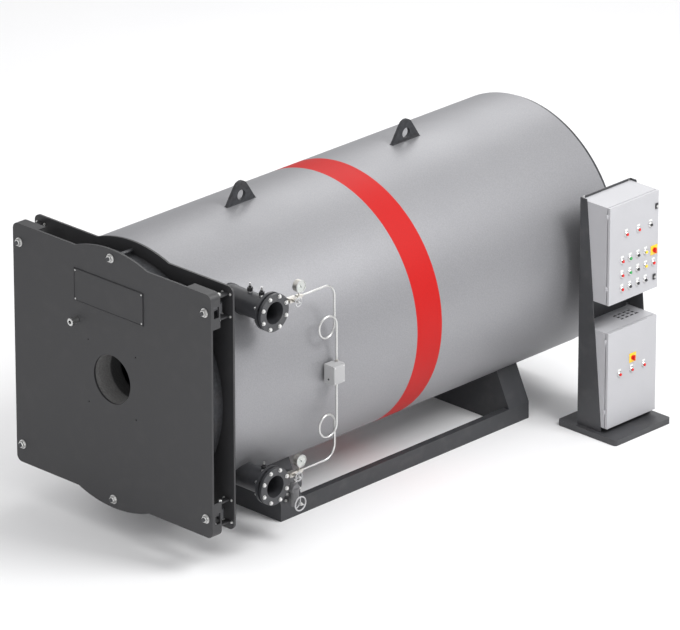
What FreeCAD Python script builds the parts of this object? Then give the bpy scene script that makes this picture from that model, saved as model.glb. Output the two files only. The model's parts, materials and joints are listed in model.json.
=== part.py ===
import FreeCAD, Part
import math
import os

# Industrial hot-water boiler on a skid, with its swing door, two water nozzles,
# a pressure line with gauges, a drain and a free-standing control stand.
# Millimetres, +Z up, the door faces -Y and the nozzles point along +X. The origin
# is on the floor under the boiler axis, at the middle of the front saddle's foot.

V = FreeCAD.Vector
AXIS_X = V(1, 0, 0)
AXIS_Y = V(0, 1, 0)
AXIS_Z = V(0, 0, 1)

# fits
seat_gap = 0.3            # between a piece and the curved seat that carries it
pin_gap = 0.3             # radial clearance of a pin or a stem in its bore

# shell
axis_height = 1457.0
shell_radius = 1188.0
shell_wall = 30.0
shell_front = -1040.0
shell_length = 4840.0
rear_end_rim = 18.0       # how far the rear end stays inside the shell's edge
rear_end_thickness = 40.0
tube_plate_depth = 140.0  # from the front of the shell to the tube plate
tube_plate_thickness = 30.0
furnace_radius = 460.0
furnace_wall = 15.0
furnace_length = 4150.0

# front plate and door
plate_half_width = shell_radius + 22.0
plate_half_height = shell_radius - 66.0
plate_corner_radius = 60.0
lobe_radius = shell_radius + 16.0
plate_thickness = 20.0
plate_opening_radius = shell_radius - 188.0
plate_spacing = 240.0     # clear space between the door plate and the front plate
drum_radius = shell_radius - 98.0
drum_wall = 20.0
drum_seal_gap = 8.0
plug_radius = plate_opening_radius - 70.0
plug_reach = 40.0         # how far the plug reaches behind the front plate
burner_radius = 224.0
burner_stud_pitch = 580.0
burner_stud_radius = 7.0
corner_box_width = 300.0
corner_box_height = 320.0
corner_box_depth = 90.0
corner_box_wall = 12.0
corner_slot_width = 60.0
corner_slot_height = 100.0
name_plate_width = 850.0
name_plate_height = 305.0
name_plate_thickness = 5.0
name_plate_x = -30.0
name_plate_rise = 760.0
sight_tube_x = -430.0
sight_tube_rise = 430.0
sight_tube_radius = 30.0
sight_bore_radius = 16.0
sight_tube_length = 80.0

# door hinges and clamps
clamp_x = plate_half_width - 77.0
clamp_rise = plate_half_height - 172.0
stud_rise = plate_half_height
rod_radius = 18.0
rod_stand_out = 40.0
clamp_hole_radius = 27.0
stud_hole_radius = 34.0
pin_radius = 14.0
pin_to_plate = 95.0       # from the pin's axis to the front plate
lug_half_width = 28.0
lug_thickness = 15.0
lug_offset = 95.0         # from the rod's axis to the inner face of a lug
pin_stand_out = 15.0
eye_radius = 32.0
eye_height = 90.0

# skid and saddles
rail_height = 160.0
rail_flange = 65.0
rail_wall = 9.0
skid_half_width = 850.0
saddle_spacing = 2900.0
saddle_length = 260.0
saddle_wall = 15.0
saddle_top_half_width = 692.0
saddle_top_rise = 489.0
skid_end_thickness = 12.0

# lifting eyes
eye_front_y = 241.0
eye_spacing = 2059.0
eye_base = 350.0
eye_top = 130.0
eye_rise = 200.0
eye_hole_radius = 48.0
eye_hole_rise = 72.0
eye_thickness = 30.0

# nozzles
nozzle_y = -665.0
nozzle_rise = shell_radius - 384.0
nozzle_face_x = shell_radius + 126.0
pipe_radius = 109.5
pipe_bore_radius = 100.0
branch_reach = 20.0       # how far a branch reaches inside the shell's wall
flange_radius = 170.0
flange_thickness = 26.0
flange_gap = 24.0
flange_boss_radius = 133.0
flange_bolt_circle = 295.0
flange_hole_radius = 11.0
flange_hole_count = 8
supply_pocket_xs = (1020.0, 1160.0)
return_pocket_xs = (1180.0,)
pocket_radius = 19.0
pocket_height = 42.0
probe_radius = 8.0
probe_height = 85.0

# pressure line
line_x = shell_radius + 27.0
line_rise = nozzle_rise + 6.0
line_tube_radius = 9.5
line_shift = 26.0         # how far a loop carries the line outward
line_bend_radius = 120.0
line_leg_y = 160.0
loop_radius = 100.0
loop_rise_upper = line_rise - 380.0
loop_drop_lower = line_rise - 320.0
stub_radius = 12.0
valve_y = -365.0
valve_half_length = 40.0
valve_half_width = 22.0
bonnet_radius = 14.0
bonnet_reach = 70.0
tee_half_length = 25.0
tee_half_width = 18.0
tee_y = -275.0
gauge_rise = 100.0
gauge_radius = 55.0
gauge_depth = 45.0
switch_depth = 105.0
switch_width = 140.0
switch_height = 176.0
switch_back_x = shell_radius + 17.0
switch_y = 115.0
switch_pad_width = 90.0
switch_pad_height = 110.0

# drain
drain_y = -300.0
drain_fall = shell_radius - 208.0
drain_height = axis_height - drain_fall
drain_neck_radius = 84.0
drain_neck_bore = 76.0
drain_flange_x = shell_radius - 103.0
drain_flange_radius = 150.0
drain_flange_thickness = 19.0
drain_cover_thickness = 20.0
drain_valve_flange_radius = 85.0
drain_valve_flange_thickness = 18.0
drain_body_radius = 45.0
drain_body_length = 60.0
drain_leg_offset = 42.0
drain_drop = 120.0
drain_leg_radius = 36.0
drain_bonnet_radius = 30.0
drain_bonnet_length = 44.0

# handwheels: rim radius, rim tube radius, hub radius, hub length, stem radius, stem length
gauge_wheel = (38.0, 5.5, 10.0, 16.0, 5.0, 25.0)
drain_wheel = (63.0, 6.5, 15.0, 24.0, 8.0, 32.0)
wheel_spokes = 3
stem_in_bonnet = 18.0

# control stand
stand_base_depth = 699.0
stand_base_y = 3092.0
stand_base_width = 738.0
stand_base_height = 55.0
stand_base_corner = 30.0
stand_back_x = shell_radius + 147.0
stand_base_x = stand_back_x - 191.0
stand_back_thickness = 10.0
stand_side_thickness = 8.0
stand_top = 2232.0
stand_side_top_depth = 75.0
stand_side_foot_depth = 280.0
cabinet_y = 3152.0
cabinet_width = 640.0
cabinet_front_x = stand_back_x + 315.0
cabinet_wall = 6.0
cabinet_door_gap = 8.0
cabinet_door_thickness = 25.0
upper_cabinet_bottom = 1287.0
upper_cabinet_height = 926.0
lower_cabinet_bottom = 101.0
lower_cabinet_height = 918.0
cabinet_hinge_offset = 8.0      # the hinge axis stands this far outside the cabinet's side
cabinet_pin_radius = 4.0
cabinet_knuckle_radius = 8.0
cabinet_knuckle_height = 40.0
cabinet_leaf_height = 20.0
cabinet_hinge_inset = 120.0     # from the cabinet's end to its hinge
vent_pitch_x = 45.0
vent_pitch_y = 62.0
vent_slot_x = 28.0
vent_slot_y = 42.0
vent_rows = 3
vent_columns = 4
vent_x = 1480.0
vent_y = 3600.0

# controls on the cabinet doors
lamp_radius = 15.0
lamp_height = 16.0
lamp_pitch_y = 103.0
lamp_pitch_z = 134.0
lamp_first_y = 167.0            # from the cabinet's hinge side
lamp_first_z = 115.0            # lowest row above the upper cabinet's bottom
upper_lamp_columns = 5
upper_lamp_rows = 3
wide_lamp_pitch = 160.0
wide_lamp_first_y = 217.0
wide_lamp_z = 626.0
lower_lamp_first_y = 155.0
lower_lamp_z = 487.0
wide_lamp_count = 3
isolator_plate_side = 66.0
isolator_plate_thickness = 4.0
isolator_shaft_radius = 8.0
isolator_knob_radius = 22.0
isolator_knob_height = 12.0
isolator_grip_length = 50.0
isolator_grip_width = 13.0
isolator_grip_height = 16.0
upper_isolator_y = 586.0
upper_isolator_z = 371.0
lower_isolator_y = 326.0
lower_isolator_z = 600.0

# places worked out from the sizes above
shell_rear = shell_front + shell_length
front_plate_face = shell_front - plate_thickness
door_plate_back = front_plate_face - plate_spacing
door_face = door_plate_back - plate_thickness
pin_y = front_plate_face - pin_to_plate
flange_pair = 2 * flange_thickness + flange_gap
cabinet_rear_x = stand_back_x + stand_back_thickness
door_rear_x = cabinet_front_x + cabinet_door_gap
cabinet_face_x = door_rear_x + cabinet_door_thickness
cabinet_hinge_x = (cabinet_front_x + door_rear_x) / 2
cabinet_hinge_y = cabinet_y - cabinet_hinge_offset


def block(low, high):
    size = V(*high) - V(*low)
    return Part.makeBox(size.x, size.y, size.z, V(*low))


def rod(start, axis, radius, length):
    return Part.makeCylinder(radius, length, V(*start), axis)


def pipe(start, axis, radius, bore, length):
    return rod(start, axis, radius, length).cut(rod(start, axis, bore, length))


def fuse(shapes):
    joined = shapes[0]
    for shape in shapes[1:]:
        joined = joined.fuse(shape)
    return joined.removeSplitter()


def shell_envelope(gap):
    """The shell's outer cylinder, grown by a gap, for cutting seats."""
    start = (0, shell_front, axis_height)
    return rod(start, AXIS_Y, shell_radius + gap, shell_length)


def rounded_block(half_x, half_z, corner, y_front, thickness):
    low = (-half_x, y_front, axis_height - half_z)
    high = (half_x, y_front + thickness, axis_height + half_z)
    slab = block(low, high)
    edges = [e for e in slab.Edges if abs(e.BoundBox.YLength - thickness) < 1e-6]
    return slab.makeFillet(corner, edges)


def lobed_plate(y_front):
    """A rounded plate whose top and bottom swell along a circle about the axis."""
    slab = rounded_block(plate_half_width, plate_half_height, plate_corner_radius, y_front, plate_thickness)
    lobe = rod((0, y_front, axis_height), AXIS_Y, lobe_radius, plate_thickness)
    return slab.fuse(lobe).removeSplitter()


def clamp_points():
    """The four corner rods: x, z and the side they are on."""
    return [(side * clamp_x, axis_height + level * clamp_rise, side) for side in (-1, 1) for level in (-1, 1)]


def stud_points():
    return [(0.0, axis_height + level * stud_rise) for level in (-1, 1)]


def nozzle_heights():
    return [axis_height + level * nozzle_rise for level in (-1, 1)]


# shell ---------------------------------------------------------------------

def shell_jacket():
    start = (0, shell_front, axis_height)
    jacket = pipe(start, AXIS_Y, shell_radius, shell_radius - shell_wall, shell_length)
    for height in nozzle_heights():
        hole = rod((0, nozzle_y, height), AXIS_X, pipe_radius + seat_gap, shell_radius)
        jacket = jacket.cut(hole)
    drain_hole = rod((0, drain_y, drain_height), AXIS_X, drain_neck_radius + seat_gap, shell_radius)
    return jacket.cut(drain_hole)


def rear_end():
    return rod((0, shell_rear, axis_height), AXIS_Y, shell_radius - rear_end_rim, rear_end_thickness)


def tube_plate():
    start = (0, shell_front + tube_plate_depth, axis_height)
    return pipe(start, AXIS_Y, shell_radius - shell_wall - seat_gap,
                furnace_radius + seat_gap, tube_plate_thickness)


def furnace_tube():
    start = (0, shell_front + tube_plate_depth, axis_height)
    outer = rod(start, AXIS_Y, furnace_radius, furnace_length)
    inner = rod(start, AXIS_Y, furnace_radius - furnace_wall, furnace_length - furnace_wall)
    return outer.cut(inner)


def front_plate():
    plate = lobed_plate(front_plate_face)
    return plate.cut(rod((0, front_plate_face, axis_height), AXIS_Y, plate_opening_radius, plate_thickness))


def lifting_eyes():
    eyes = []
    base_z = axis_height + shell_radius
    for centre_y in (eye_front_y, eye_front_y + eye_spacing):
        foot_z = base_z - eye_thickness
        top_z = base_z + eye_rise
        corners = [
            V(-eye_thickness / 2, centre_y - eye_base / 2, foot_z),
            V(-eye_thickness / 2, centre_y + eye_base / 2, foot_z),
            V(-eye_thickness / 2, centre_y + eye_base / 2, base_z),
            V(-eye_thickness / 2, centre_y + eye_top / 2, top_z - eye_top / 4),
            V(-eye_thickness / 2, centre_y - eye_top / 2, top_z - eye_top / 4),
            V(-eye_thickness / 2, centre_y - eye_base / 2, base_z),
        ]
        sides = [Part.LineSegment(corners[i], corners[i + 1]).toShape() for i in range(3)]
        crown = V(-eye_thickness / 2, centre_y, top_z)
        sides.append(Part.Arc(corners[3], crown, corners[4]).toShape())
        sides.append(Part.LineSegment(corners[4], corners[5]).toShape())
        sides.append(Part.LineSegment(corners[5], corners[0]).toShape())
        eye = Part.Face(Part.Wire(sides)).extrude(V(eye_thickness, 0, 0))
        hole_start = (-eye_thickness / 2, centre_y, base_z + eye_hole_rise)
        eye = eye.cut(rod(hole_start, AXIS_X, eye_hole_radius, eye_thickness))
        eyes.append(eye.cut(shell_envelope(seat_gap)))
    return eyes


# skid ----------------------------------------------------------------------

def skid_rails():
    rails = []
    front = -saddle_length / 2 + skid_end_thickness
    rear = saddle_spacing + saddle_length / 2 - skid_end_thickness
    inner_x = skid_half_width - rail_flange
    for side in (-1, 1):
        xs = sorted((side * inner_x, side * skid_half_width))
        hollow = sorted((side * inner_x, side * (skid_half_width - rail_wall)))
        rail = block((xs[0], front, 0), (xs[1], rear, rail_height))
        hollow_low = (hollow[0], front, rail_wall)
        hollow_high = (hollow[1], rear, rail_height - rail_wall)
        rails.append(rail.cut(block(hollow_low, hollow_high)))
    return rails


def skid_end_plates():
    plates = []
    for y in (-saddle_length / 2, saddle_spacing + saddle_length / 2 - skid_end_thickness):
        plates.append(block((-skid_half_width, y, 0), (skid_half_width, y + skid_end_thickness, rail_height)))
    return plates


def saddle_outline(inset, floor_z, y):
    """The saddle's section: a box between the rails under two sloping cheeks."""
    low_x = skid_half_width - rail_flange - inset
    wide_x = skid_half_width - inset
    slope = (skid_half_width - saddle_top_half_width) / (saddle_top_rise - rail_height)
    top_z = axis_height
    top_x = wide_x - slope * (top_z - rail_height)
    shoulder = rail_height + inset
    half = [(low_x, floor_z), (low_x, shoulder), (wide_x - slope * inset, shoulder), (top_x, top_z)]
    points = half + [(-x, z) for x, z in reversed(half)]
    return Part.Face(Part.makePolygon([V(x, y, z) for x, z in points + points[:1]]))


def saddle(centre_y):
    front = centre_y - saddle_length / 2
    outer = saddle_outline(0, 0, front).extrude(V(0, saddle_length, 0))
    cavity = saddle_outline(saddle_wall, saddle_wall, front + saddle_wall)
    cavity = cavity.extrude(V(0, saddle_length - 2 * saddle_wall, 0))
    body = outer.cut(cavity).cut(shell_envelope(seat_gap))
    for end_plate in skid_end_plates():
        body = body.cut(end_plate)
    return body


# nozzles -------------------------------------------------------------------

def branch_start(rise, radius):
    """Where a branch along X starts, so that its whole end lies inside the shell."""
    inner_radius = shell_radius - shell_wall
    return math.sqrt(inner_radius ** 2 - (rise + radius) ** 2) - branch_reach


def flange_holes(start_x, length, height):
    holes = []
    for index in range(flange_hole_count):
        angle = math.radians(360.0 * (index + 0.5) / flange_hole_count)
        y = nozzle_y + flange_bolt_circle / 2 * math.cos(angle)
        z = height + flange_bolt_circle / 2 * math.sin(angle)
        holes.append(rod((start_x, y, z), AXIS_X, flange_hole_radius, length))
    return holes


def nozzle_pipes():
    end_x = nozzle_face_x - flange_pair
    start_x = branch_start(nozzle_rise, pipe_radius)
    length = end_x - start_x
    return [pipe((start_x, nozzle_y, z), AXIS_X, pipe_radius, pipe_bore_radius, length)
            for z in nozzle_heights()]


def nozzle_flanges():
    start_x = nozzle_face_x - flange_pair
    flanges = []
    for z in nozzle_heights():
        flange = pipe((start_x, nozzle_y, z), AXIS_X, flange_radius, pipe_bore_radius, flange_thickness)
        for hole in flange_holes(start_x, flange_thickness, z):
            flange = flange.cut(hole)
        flanges.append(flange)
    return flanges


def counter_flanges():
    start_x = nozzle_face_x - flange_thickness
    boss_x = start_x - flange_gap
    flanges = []
    for z in nozzle_heights():
        disc = rod((start_x, nozzle_y, z), AXIS_X, flange_radius, flange_thickness)
        for hole in flange_holes(start_x, flange_thickness, z):
            disc = disc.cut(hole)
        boss = rod((boss_x, nozzle_y, z), AXIS_X, flange_boss_radius, flange_gap)
        bore = rod((boss_x, nozzle_y, z), AXIS_X, pipe_bore_radius, flange_gap + flange_thickness)
        flanges.append(fuse([disc, boss]).cut(bore))
    return flanges


def probe_pockets():
    pockets = []
    for z, pocket_xs in zip(nozzle_heights(), (return_pocket_xs, supply_pocket_xs)):
        for x in pocket_xs:
            foot = z + pipe_radius
            boss = rod((x, nozzle_y, z), AXIS_Z, pocket_radius, pipe_radius + pocket_height)
            probe = rod((x, nozzle_y, foot), AXIS_Z, probe_radius, probe_height)
            keep_out = rod((0, nozzle_y, z), AXIS_X, pipe_radius + seat_gap, nozzle_face_x)
            pockets.append(fuse([boss, probe]).cut(keep_out))
    return pockets


# door ----------------------------------------------------------------------

def door_plate():
    plate = lobed_plate(door_face)
    plate = plate.cut(rod((0, door_face, axis_height), AXIS_Y, burner_radius, plate_thickness))
    for x, z, side in clamp_points():
        radius = rod_radius + pin_gap if side > 0 else clamp_hole_radius
        plate = plate.cut(rod((x, door_face, z), AXIS_Y, radius, plate_thickness))
    for x, z in stud_points():
        plate = plate.cut(rod((x, door_face, z), AXIS_Y, stud_hole_radius, plate_thickness))
    for side in (-1, 1):
        for level in (-1, 1):
            x = side * burner_stud_pitch / 2
            z = axis_height + level * burner_stud_pitch / 2
            plate = plate.cut(rod((x, door_face, z), AXIS_Y, burner_stud_radius, plate_thickness))
    return plate


def door_drum():
    length = plate_spacing - drum_seal_gap
    return pipe((0, door_plate_back, axis_height), AXIS_Y, drum_radius, drum_radius - drum_wall, length)


def door_refractory():
    length = plate_spacing - drum_seal_gap
    disc = rod((0, door_plate_back, axis_height), AXIS_Y, drum_radius - drum_wall - seat_gap, length)
    reach = plate_spacing + plate_thickness + plug_reach
    plug = rod((0, door_plate_back, axis_height), AXIS_Y, plug_radius, reach)
    bore = rod((0, door_plate_back, axis_height), AXIS_Y, burner_radius, reach)
    return fuse([disc, plug]).cut(bore)


def door_corner_boxes():
    """A deep rim around each corner of the door plate, with a slot in its side."""
    outer = rounded_block(plate_half_width, plate_half_height, plate_corner_radius,
                          door_plate_back, corner_box_depth)
    inner = rounded_block(plate_half_width - corner_box_wall, plate_half_height - corner_box_wall,
                          plate_corner_radius - corner_box_wall, door_plate_back, corner_box_depth)
    rim = outer.cut(inner)
    rim_end = door_plate_back + corner_box_depth
    boxes = []
    for x, z, side in clamp_points():
        level = 1 if z > axis_height else -1
        xs = sorted((side * (plate_half_width - corner_box_width), side * plate_half_width))
        zs = sorted((level * (plate_half_height - corner_box_height), level * plate_half_height))
        region = block((xs[0], door_plate_back, axis_height + zs[0]), (xs[1], rim_end, axis_height + zs[1]))
        slot_y = door_plate_back + (corner_box_depth - corner_slot_width) / 2
        slot_xs = sorted((side * (plate_half_width - 2 * corner_box_wall), side * plate_half_width))
        slot_low = (slot_xs[0], slot_y, z - corner_slot_height / 2)
        slot_high = (slot_xs[1], slot_y + corner_slot_width, z + corner_slot_height / 2)
        boxes.append(rim.common(region).cut(block(slot_low, slot_high)))
    return boxes


def clamp_rod(x, z):
    """An eye on a vertical pin, with a rod that passes forward through the door."""
    eye = rod((x, pin_y, z - eye_height / 2), AXIS_Z, eye_radius, eye_height)
    reach = pin_y - door_face + rod_stand_out
    shank = rod((x, pin_y, z), -AXIS_Y, rod_radius, reach)
    bore = rod((x, pin_y, z - eye_height / 2), AXIS_Z, pin_radius + pin_gap, eye_height)
    return fuse([eye, shank]).cut(bore)


def hinge_rods():
    return [clamp_rod(x, z) for x, z, side in clamp_points() if side > 0]


def clamp_rods():
    rods = [clamp_rod(x, z) for x, z, side in clamp_points() if side < 0]
    length = front_plate_face - door_face + rod_stand_out
    for x, z in stud_points():
        rods.append(rod((x, front_plate_face, z), -AXIS_Y, rod_radius, length))
    return rods


def corner_lugs():
    """At each corner of the front plate, two lugs with the pin between them."""
    groups = []
    for x, z, side in clamp_points():
        shapes = []
        for low_z in (z - lug_offset - lug_thickness, z + lug_offset):
            low = (x - lug_half_width, pin_y, low_z)
            high = (x + lug_half_width, front_plate_face, low_z + lug_thickness)
            shapes.append(block(low, high))
            shapes.append(rod((x, pin_y, low_z), AXIS_Z, lug_half_width, lug_thickness))
        half = lug_offset + lug_thickness + pin_stand_out
        shapes.append(rod((x, pin_y, z - half), AXIS_Z, pin_radius, 2 * half))
        groups.append(fuse(shapes))
    return groups


def name_plate():
    low_z = axis_height + name_plate_rise - name_plate_height / 2
    low = (name_plate_x - name_plate_width / 2, door_face - name_plate_thickness, low_z)
    high = (name_plate_x + name_plate_width / 2, door_face, low_z + name_plate_height)
    return block(low, high)


def sight_tube():
    start = (sight_tube_x, door_face - sight_tube_length, axis_height + sight_tube_rise)
    return pipe(start, AXIS_Y, sight_tube_radius, sight_bore_radius, sight_tube_length)


# pressure line -------------------------------------------------------------

def swept_tube(edges, start, direction):
    wire = Part.Wire(edges)
    ring = Part.Wire([Part.Circle(V(*start), direction, line_tube_radius).toShape()])
    return wire.makePipeShell([ring], True, True)


def line(start, end):
    return Part.LineSegment(start, end).toShape()


def half_turn(start, end, middle):
    return Part.Arc(start, middle, end).toShape()


def pressure_tube(level):
    """A run from the gauge, a bend, a leg with one full loop, and the switch box."""
    loop_offset = loop_rise_upper if level > 0 else loop_drop_lower
    run_z = axis_height + level * line_rise
    loop_z = axis_height + level * loop_offset
    box_z = axis_height + level * switch_height / 2
    start = V(line_x, tee_y + tee_half_length, run_z)
    bend_in = V(line_x, line_leg_y - line_bend_radius, run_z)
    bend_out = V(line_x, line_leg_y, run_z - level * line_bend_radius)
    corner = line_bend_radius * (1 - math.sqrt(0.5))
    bend_mid = V(line_x, line_leg_y - corner, run_z - level * corner)
    loop_in = V(line_x, line_leg_y, loop_z)
    drift = line_shift / 2
    across = math.sqrt((2 * loop_radius) ** 2 - drift ** 2)
    loop_side = V(line_x + drift, line_leg_y - across, loop_z)
    loop_out = V(line_x + line_shift, line_leg_y, loop_z)
    bottom = (loop_in + loop_side) * 0.5 - V(0, 0, level * loop_radius)
    top = (loop_side + loop_out) * 0.5 + V(0, 0, level * loop_radius)
    end = V(line_x + line_shift, line_leg_y, box_z)
    edges = [
        line(start, bend_in),
        Part.Arc(bend_in, bend_mid, bend_out).toShape(),
        line(bend_out, loop_in),
        half_turn(loop_in, loop_side, bottom),
        half_turn(loop_side, loop_out, top),
        line(loop_out, end),
    ]
    return swept_tube(edges, start, AXIS_Y)


def pressure_tubes():
    return [pressure_tube(level) for level in (-1, 1)]


def line_heights():
    return [axis_height + level * line_rise for level in (-1, 1)]


def gauge_valves():
    valves = []
    for z, nozzle_z in zip(line_heights(), nozzle_heights()):
        drop = z - nozzle_z
        side_y = nozzle_y + math.sqrt(pipe_radius ** 2 - drop ** 2)
        body_low = (line_x - valve_half_width, valve_y - valve_half_length, z - valve_half_width)
        body_high = (line_x + valve_half_width, valve_y + valve_half_length, z + valve_half_width)
        stub = rod((line_x, side_y - stub_radius, z), AXIS_Y, stub_radius, valve_y - side_y + stub_radius)
        link = rod((line_x, valve_y, z), AXIS_Y, stub_radius, tee_y - tee_half_length - valve_y)
        bonnet = rod((line_x, valve_y, z), AXIS_X, bonnet_radius, bonnet_reach)
        body = fuse([block(body_low, body_high), stub, link, bonnet])
        bore = rod((line_x + bonnet_reach - stem_in_bonnet, valve_y, z), AXIS_X,
                   gauge_wheel[4] + pin_gap, stem_in_bonnet)
        keep_out = rod((0, nozzle_y, nozzle_z), AXIS_X, pipe_radius + seat_gap, nozzle_face_x)
        valves.append(body.cut(bore).cut(keep_out))
    return valves


def gauges():
    shapes = []
    for z in line_heights():
        tee_low = (line_x - tee_half_width, tee_y - tee_half_length, z - tee_half_width)
        tee_high = (line_x + tee_half_width, tee_y + tee_half_length, z + tee_half_width)
        neck = rod((line_x, tee_y, z), AXIS_Z, stub_radius / 2, gauge_rise)
        can = rod((line_x - gauge_depth / 2, tee_y, z + gauge_rise), AXIS_X, gauge_radius, gauge_depth)
        shapes.append(fuse([block(tee_low, tee_high), neck, can]))
    return shapes


def pressure_switch():
    centre_z = axis_height
    low = (switch_back_x, switch_y - switch_width / 2, centre_z - switch_height / 2)
    high = (switch_back_x + switch_depth, switch_y + switch_width / 2, centre_z + switch_height / 2)
    pad_low = (shell_radius - switch_pad_width / 2, switch_y - switch_pad_width / 2,
               centre_z - switch_pad_height / 2)
    pad_high = (switch_back_x, switch_y + switch_pad_width / 2, centre_z + switch_pad_height / 2)
    return fuse([block(low, high), block(pad_low, pad_high)]).cut(shell_envelope(seat_gap))


# handwheels ----------------------------------------------------------------

def handwheel(hub_start, sizes):
    """A wheel facing +X, with its stem reaching back from the hub."""
    rim_radius, rim_tube, hub_radius, hub_length, stem_radius, stem_length = sizes
    x, y, z = hub_start
    middle_x = x + hub_length / 2
    rim = Part.makeTorus(rim_radius, rim_tube, V(middle_x, y, z), AXIS_X)
    shapes = [rod(hub_start, AXIS_X, hub_radius, hub_length), rim]
    for index in range(wheel_spokes):
        angle = math.radians(360.0 * index / wheel_spokes + 90)
        direction = V(0, math.cos(angle), math.sin(angle))
        shapes.append(Part.makeCylinder(rim_tube * 0.7, rim_radius, V(middle_x, y, z), direction))
    shapes.append(rod((x - stem_length, y, z), AXIS_X, stem_radius, stem_length + hub_length / 2))
    return fuse(shapes)


def gauge_wheel_at(z):
    clear = gauge_wheel[5] - stem_in_bonnet + pin_gap
    return handwheel((line_x + bonnet_reach + clear, valve_y, z), gauge_wheel)


# drain ---------------------------------------------------------------------

def drain_neck():
    start_x = branch_start(drain_fall, drain_neck_radius)
    neck_length = drain_flange_x - start_x
    neck_start = (start_x, drain_y, drain_height)
    neck = rod(neck_start, AXIS_X, drain_neck_radius, neck_length)
    flange = rod((drain_flange_x, drain_y, drain_height), AXIS_X, drain_flange_radius, drain_flange_thickness)
    bore = rod(neck_start, AXIS_X, drain_neck_bore, neck_length + drain_flange_thickness)
    return fuse([neck, flange]).cut(bore)


def drain_cover():
    start = (drain_flange_x + drain_flange_thickness, drain_y, drain_height)
    return rod(start, AXIS_X, drain_flange_radius, drain_cover_thickness)


def drain_valve_start_x():
    return drain_flange_x + drain_flange_thickness + drain_cover_thickness


def drain_bonnet_end_x():
    leg_x = drain_valve_start_x() + drain_valve_flange_thickness + drain_leg_offset
    return leg_x + drain_bonnet_length


def drain_valve():
    start_x = drain_valve_start_x()
    flange = rod((start_x, drain_y, drain_height), AXIS_X, drain_valve_flange_radius,
                 drain_valve_flange_thickness)
    body_x = start_x + drain_valve_flange_thickness
    body = rod((body_x, drain_y, drain_height), AXIS_X, drain_body_radius, drain_body_length)
    leg_x = body_x + drain_leg_offset
    low_z = drain_height - drain_drop
    leg = rod((leg_x, drain_y, low_z - drain_leg_radius), AXIS_Z, drain_leg_radius,
              drain_drop + drain_leg_radius)
    bonnet = rod((leg_x, drain_y, low_z), AXIS_X, drain_bonnet_radius, drain_bonnet_length)
    end_x = leg_x + drain_bonnet_length
    bore = rod((end_x - stem_in_bonnet, drain_y, low_z), AXIS_X, drain_wheel[4] + pin_gap, stem_in_bonnet)
    return fuse([flange, body, leg, bonnet]).cut(bore)


def drain_handwheel():
    clear = drain_wheel[5] - stem_in_bonnet + pin_gap
    start = (drain_bonnet_end_x() + clear, drain_y, drain_height - drain_drop)
    return handwheel(start, drain_wheel)


# control stand -------------------------------------------------------------

def stand_base():
    low = (stand_base_x, stand_base_y, 0)
    high = (stand_base_x + stand_base_depth, stand_base_y + stand_base_width, stand_base_height)
    base = block(low, high)
    edges = [e for e in base.Edges if abs(e.BoundBox.ZLength - stand_base_height) < 1e-6]
    return base.makeFillet(stand_base_corner, edges)


def stand_back():
    return block((stand_back_x, cabinet_y, stand_base_height),
                 (cabinet_rear_x, cabinet_y + cabinet_width, stand_top))


def stand_sides():
    sides = []
    for y in (cabinet_y - stand_side_thickness, cabinet_y + cabinet_width):
        corners = [
            V(stand_back_x, y, stand_base_height),
            V(stand_back_x + stand_side_foot_depth, y, stand_base_height),
            V(stand_back_x + stand_side_top_depth, y, stand_top),
            V(stand_back_x, y, stand_top),
        ]
        face = Part.Face(Part.makePolygon(corners + corners[:1]))
        sides.append(face.extrude(V(0, stand_side_thickness, 0)))
    return sides


def hinge_heights(bottom, height):
    return [bottom + cabinet_hinge_inset, bottom + height - cabinet_hinge_inset]


def cabinet_hinge_leaf(z):
    """A leaf on the cabinet's side that carries an upright pin."""
    leaf_low = (cabinet_hinge_x - 2 * cabinet_knuckle_radius, cabinet_hinge_y - cabinet_knuckle_radius / 2, z)
    leaf_high = (cabinet_front_x, cabinet_y, z + cabinet_leaf_height)
    barrel = rod((cabinet_hinge_x, cabinet_hinge_y, z), AXIS_Z, cabinet_knuckle_radius / 2 + pin_gap,
                 cabinet_leaf_height)
    pin = rod((cabinet_hinge_x, cabinet_hinge_y, z), AXIS_Z, cabinet_pin_radius,
              cabinet_leaf_height + cabinet_knuckle_height)
    return [block(leaf_low, leaf_high), barrel, pin]


def cabinet(bottom, height, has_vent):
    low = (cabinet_rear_x, cabinet_y, bottom)
    high = (cabinet_front_x, cabinet_y + cabinet_width, bottom + height)
    hollow_low = (low[0] + cabinet_wall, low[1] + cabinet_wall, low[2] + cabinet_wall)
    hollow_high = (high[0], high[1] - cabinet_wall, high[2] - cabinet_wall)
    shapes = [block(low, high).cut(block(hollow_low, hollow_high))]
    for z in hinge_heights(bottom, height):
        shapes += cabinet_hinge_leaf(z)
    body = fuse(shapes)
    if has_vent:
        for slot in vent_slots(bottom + height):
            body = body.cut(slot)
    return body


def vent_slots(top):
    slots = []
    for row in range(vent_rows):
        for column in range(vent_columns):
            x = vent_x + (row - (vent_rows - 1) / 2) * vent_pitch_x
            y = vent_y + (column - (vent_columns - 1) / 2) * vent_pitch_y
            low = (x - vent_slot_x / 2, y - vent_slot_y / 2, top - cabinet_wall)
            high = (x + vent_slot_x / 2, y + vent_slot_y / 2, top)
            slots.append(block(low, high))
    return slots


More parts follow.
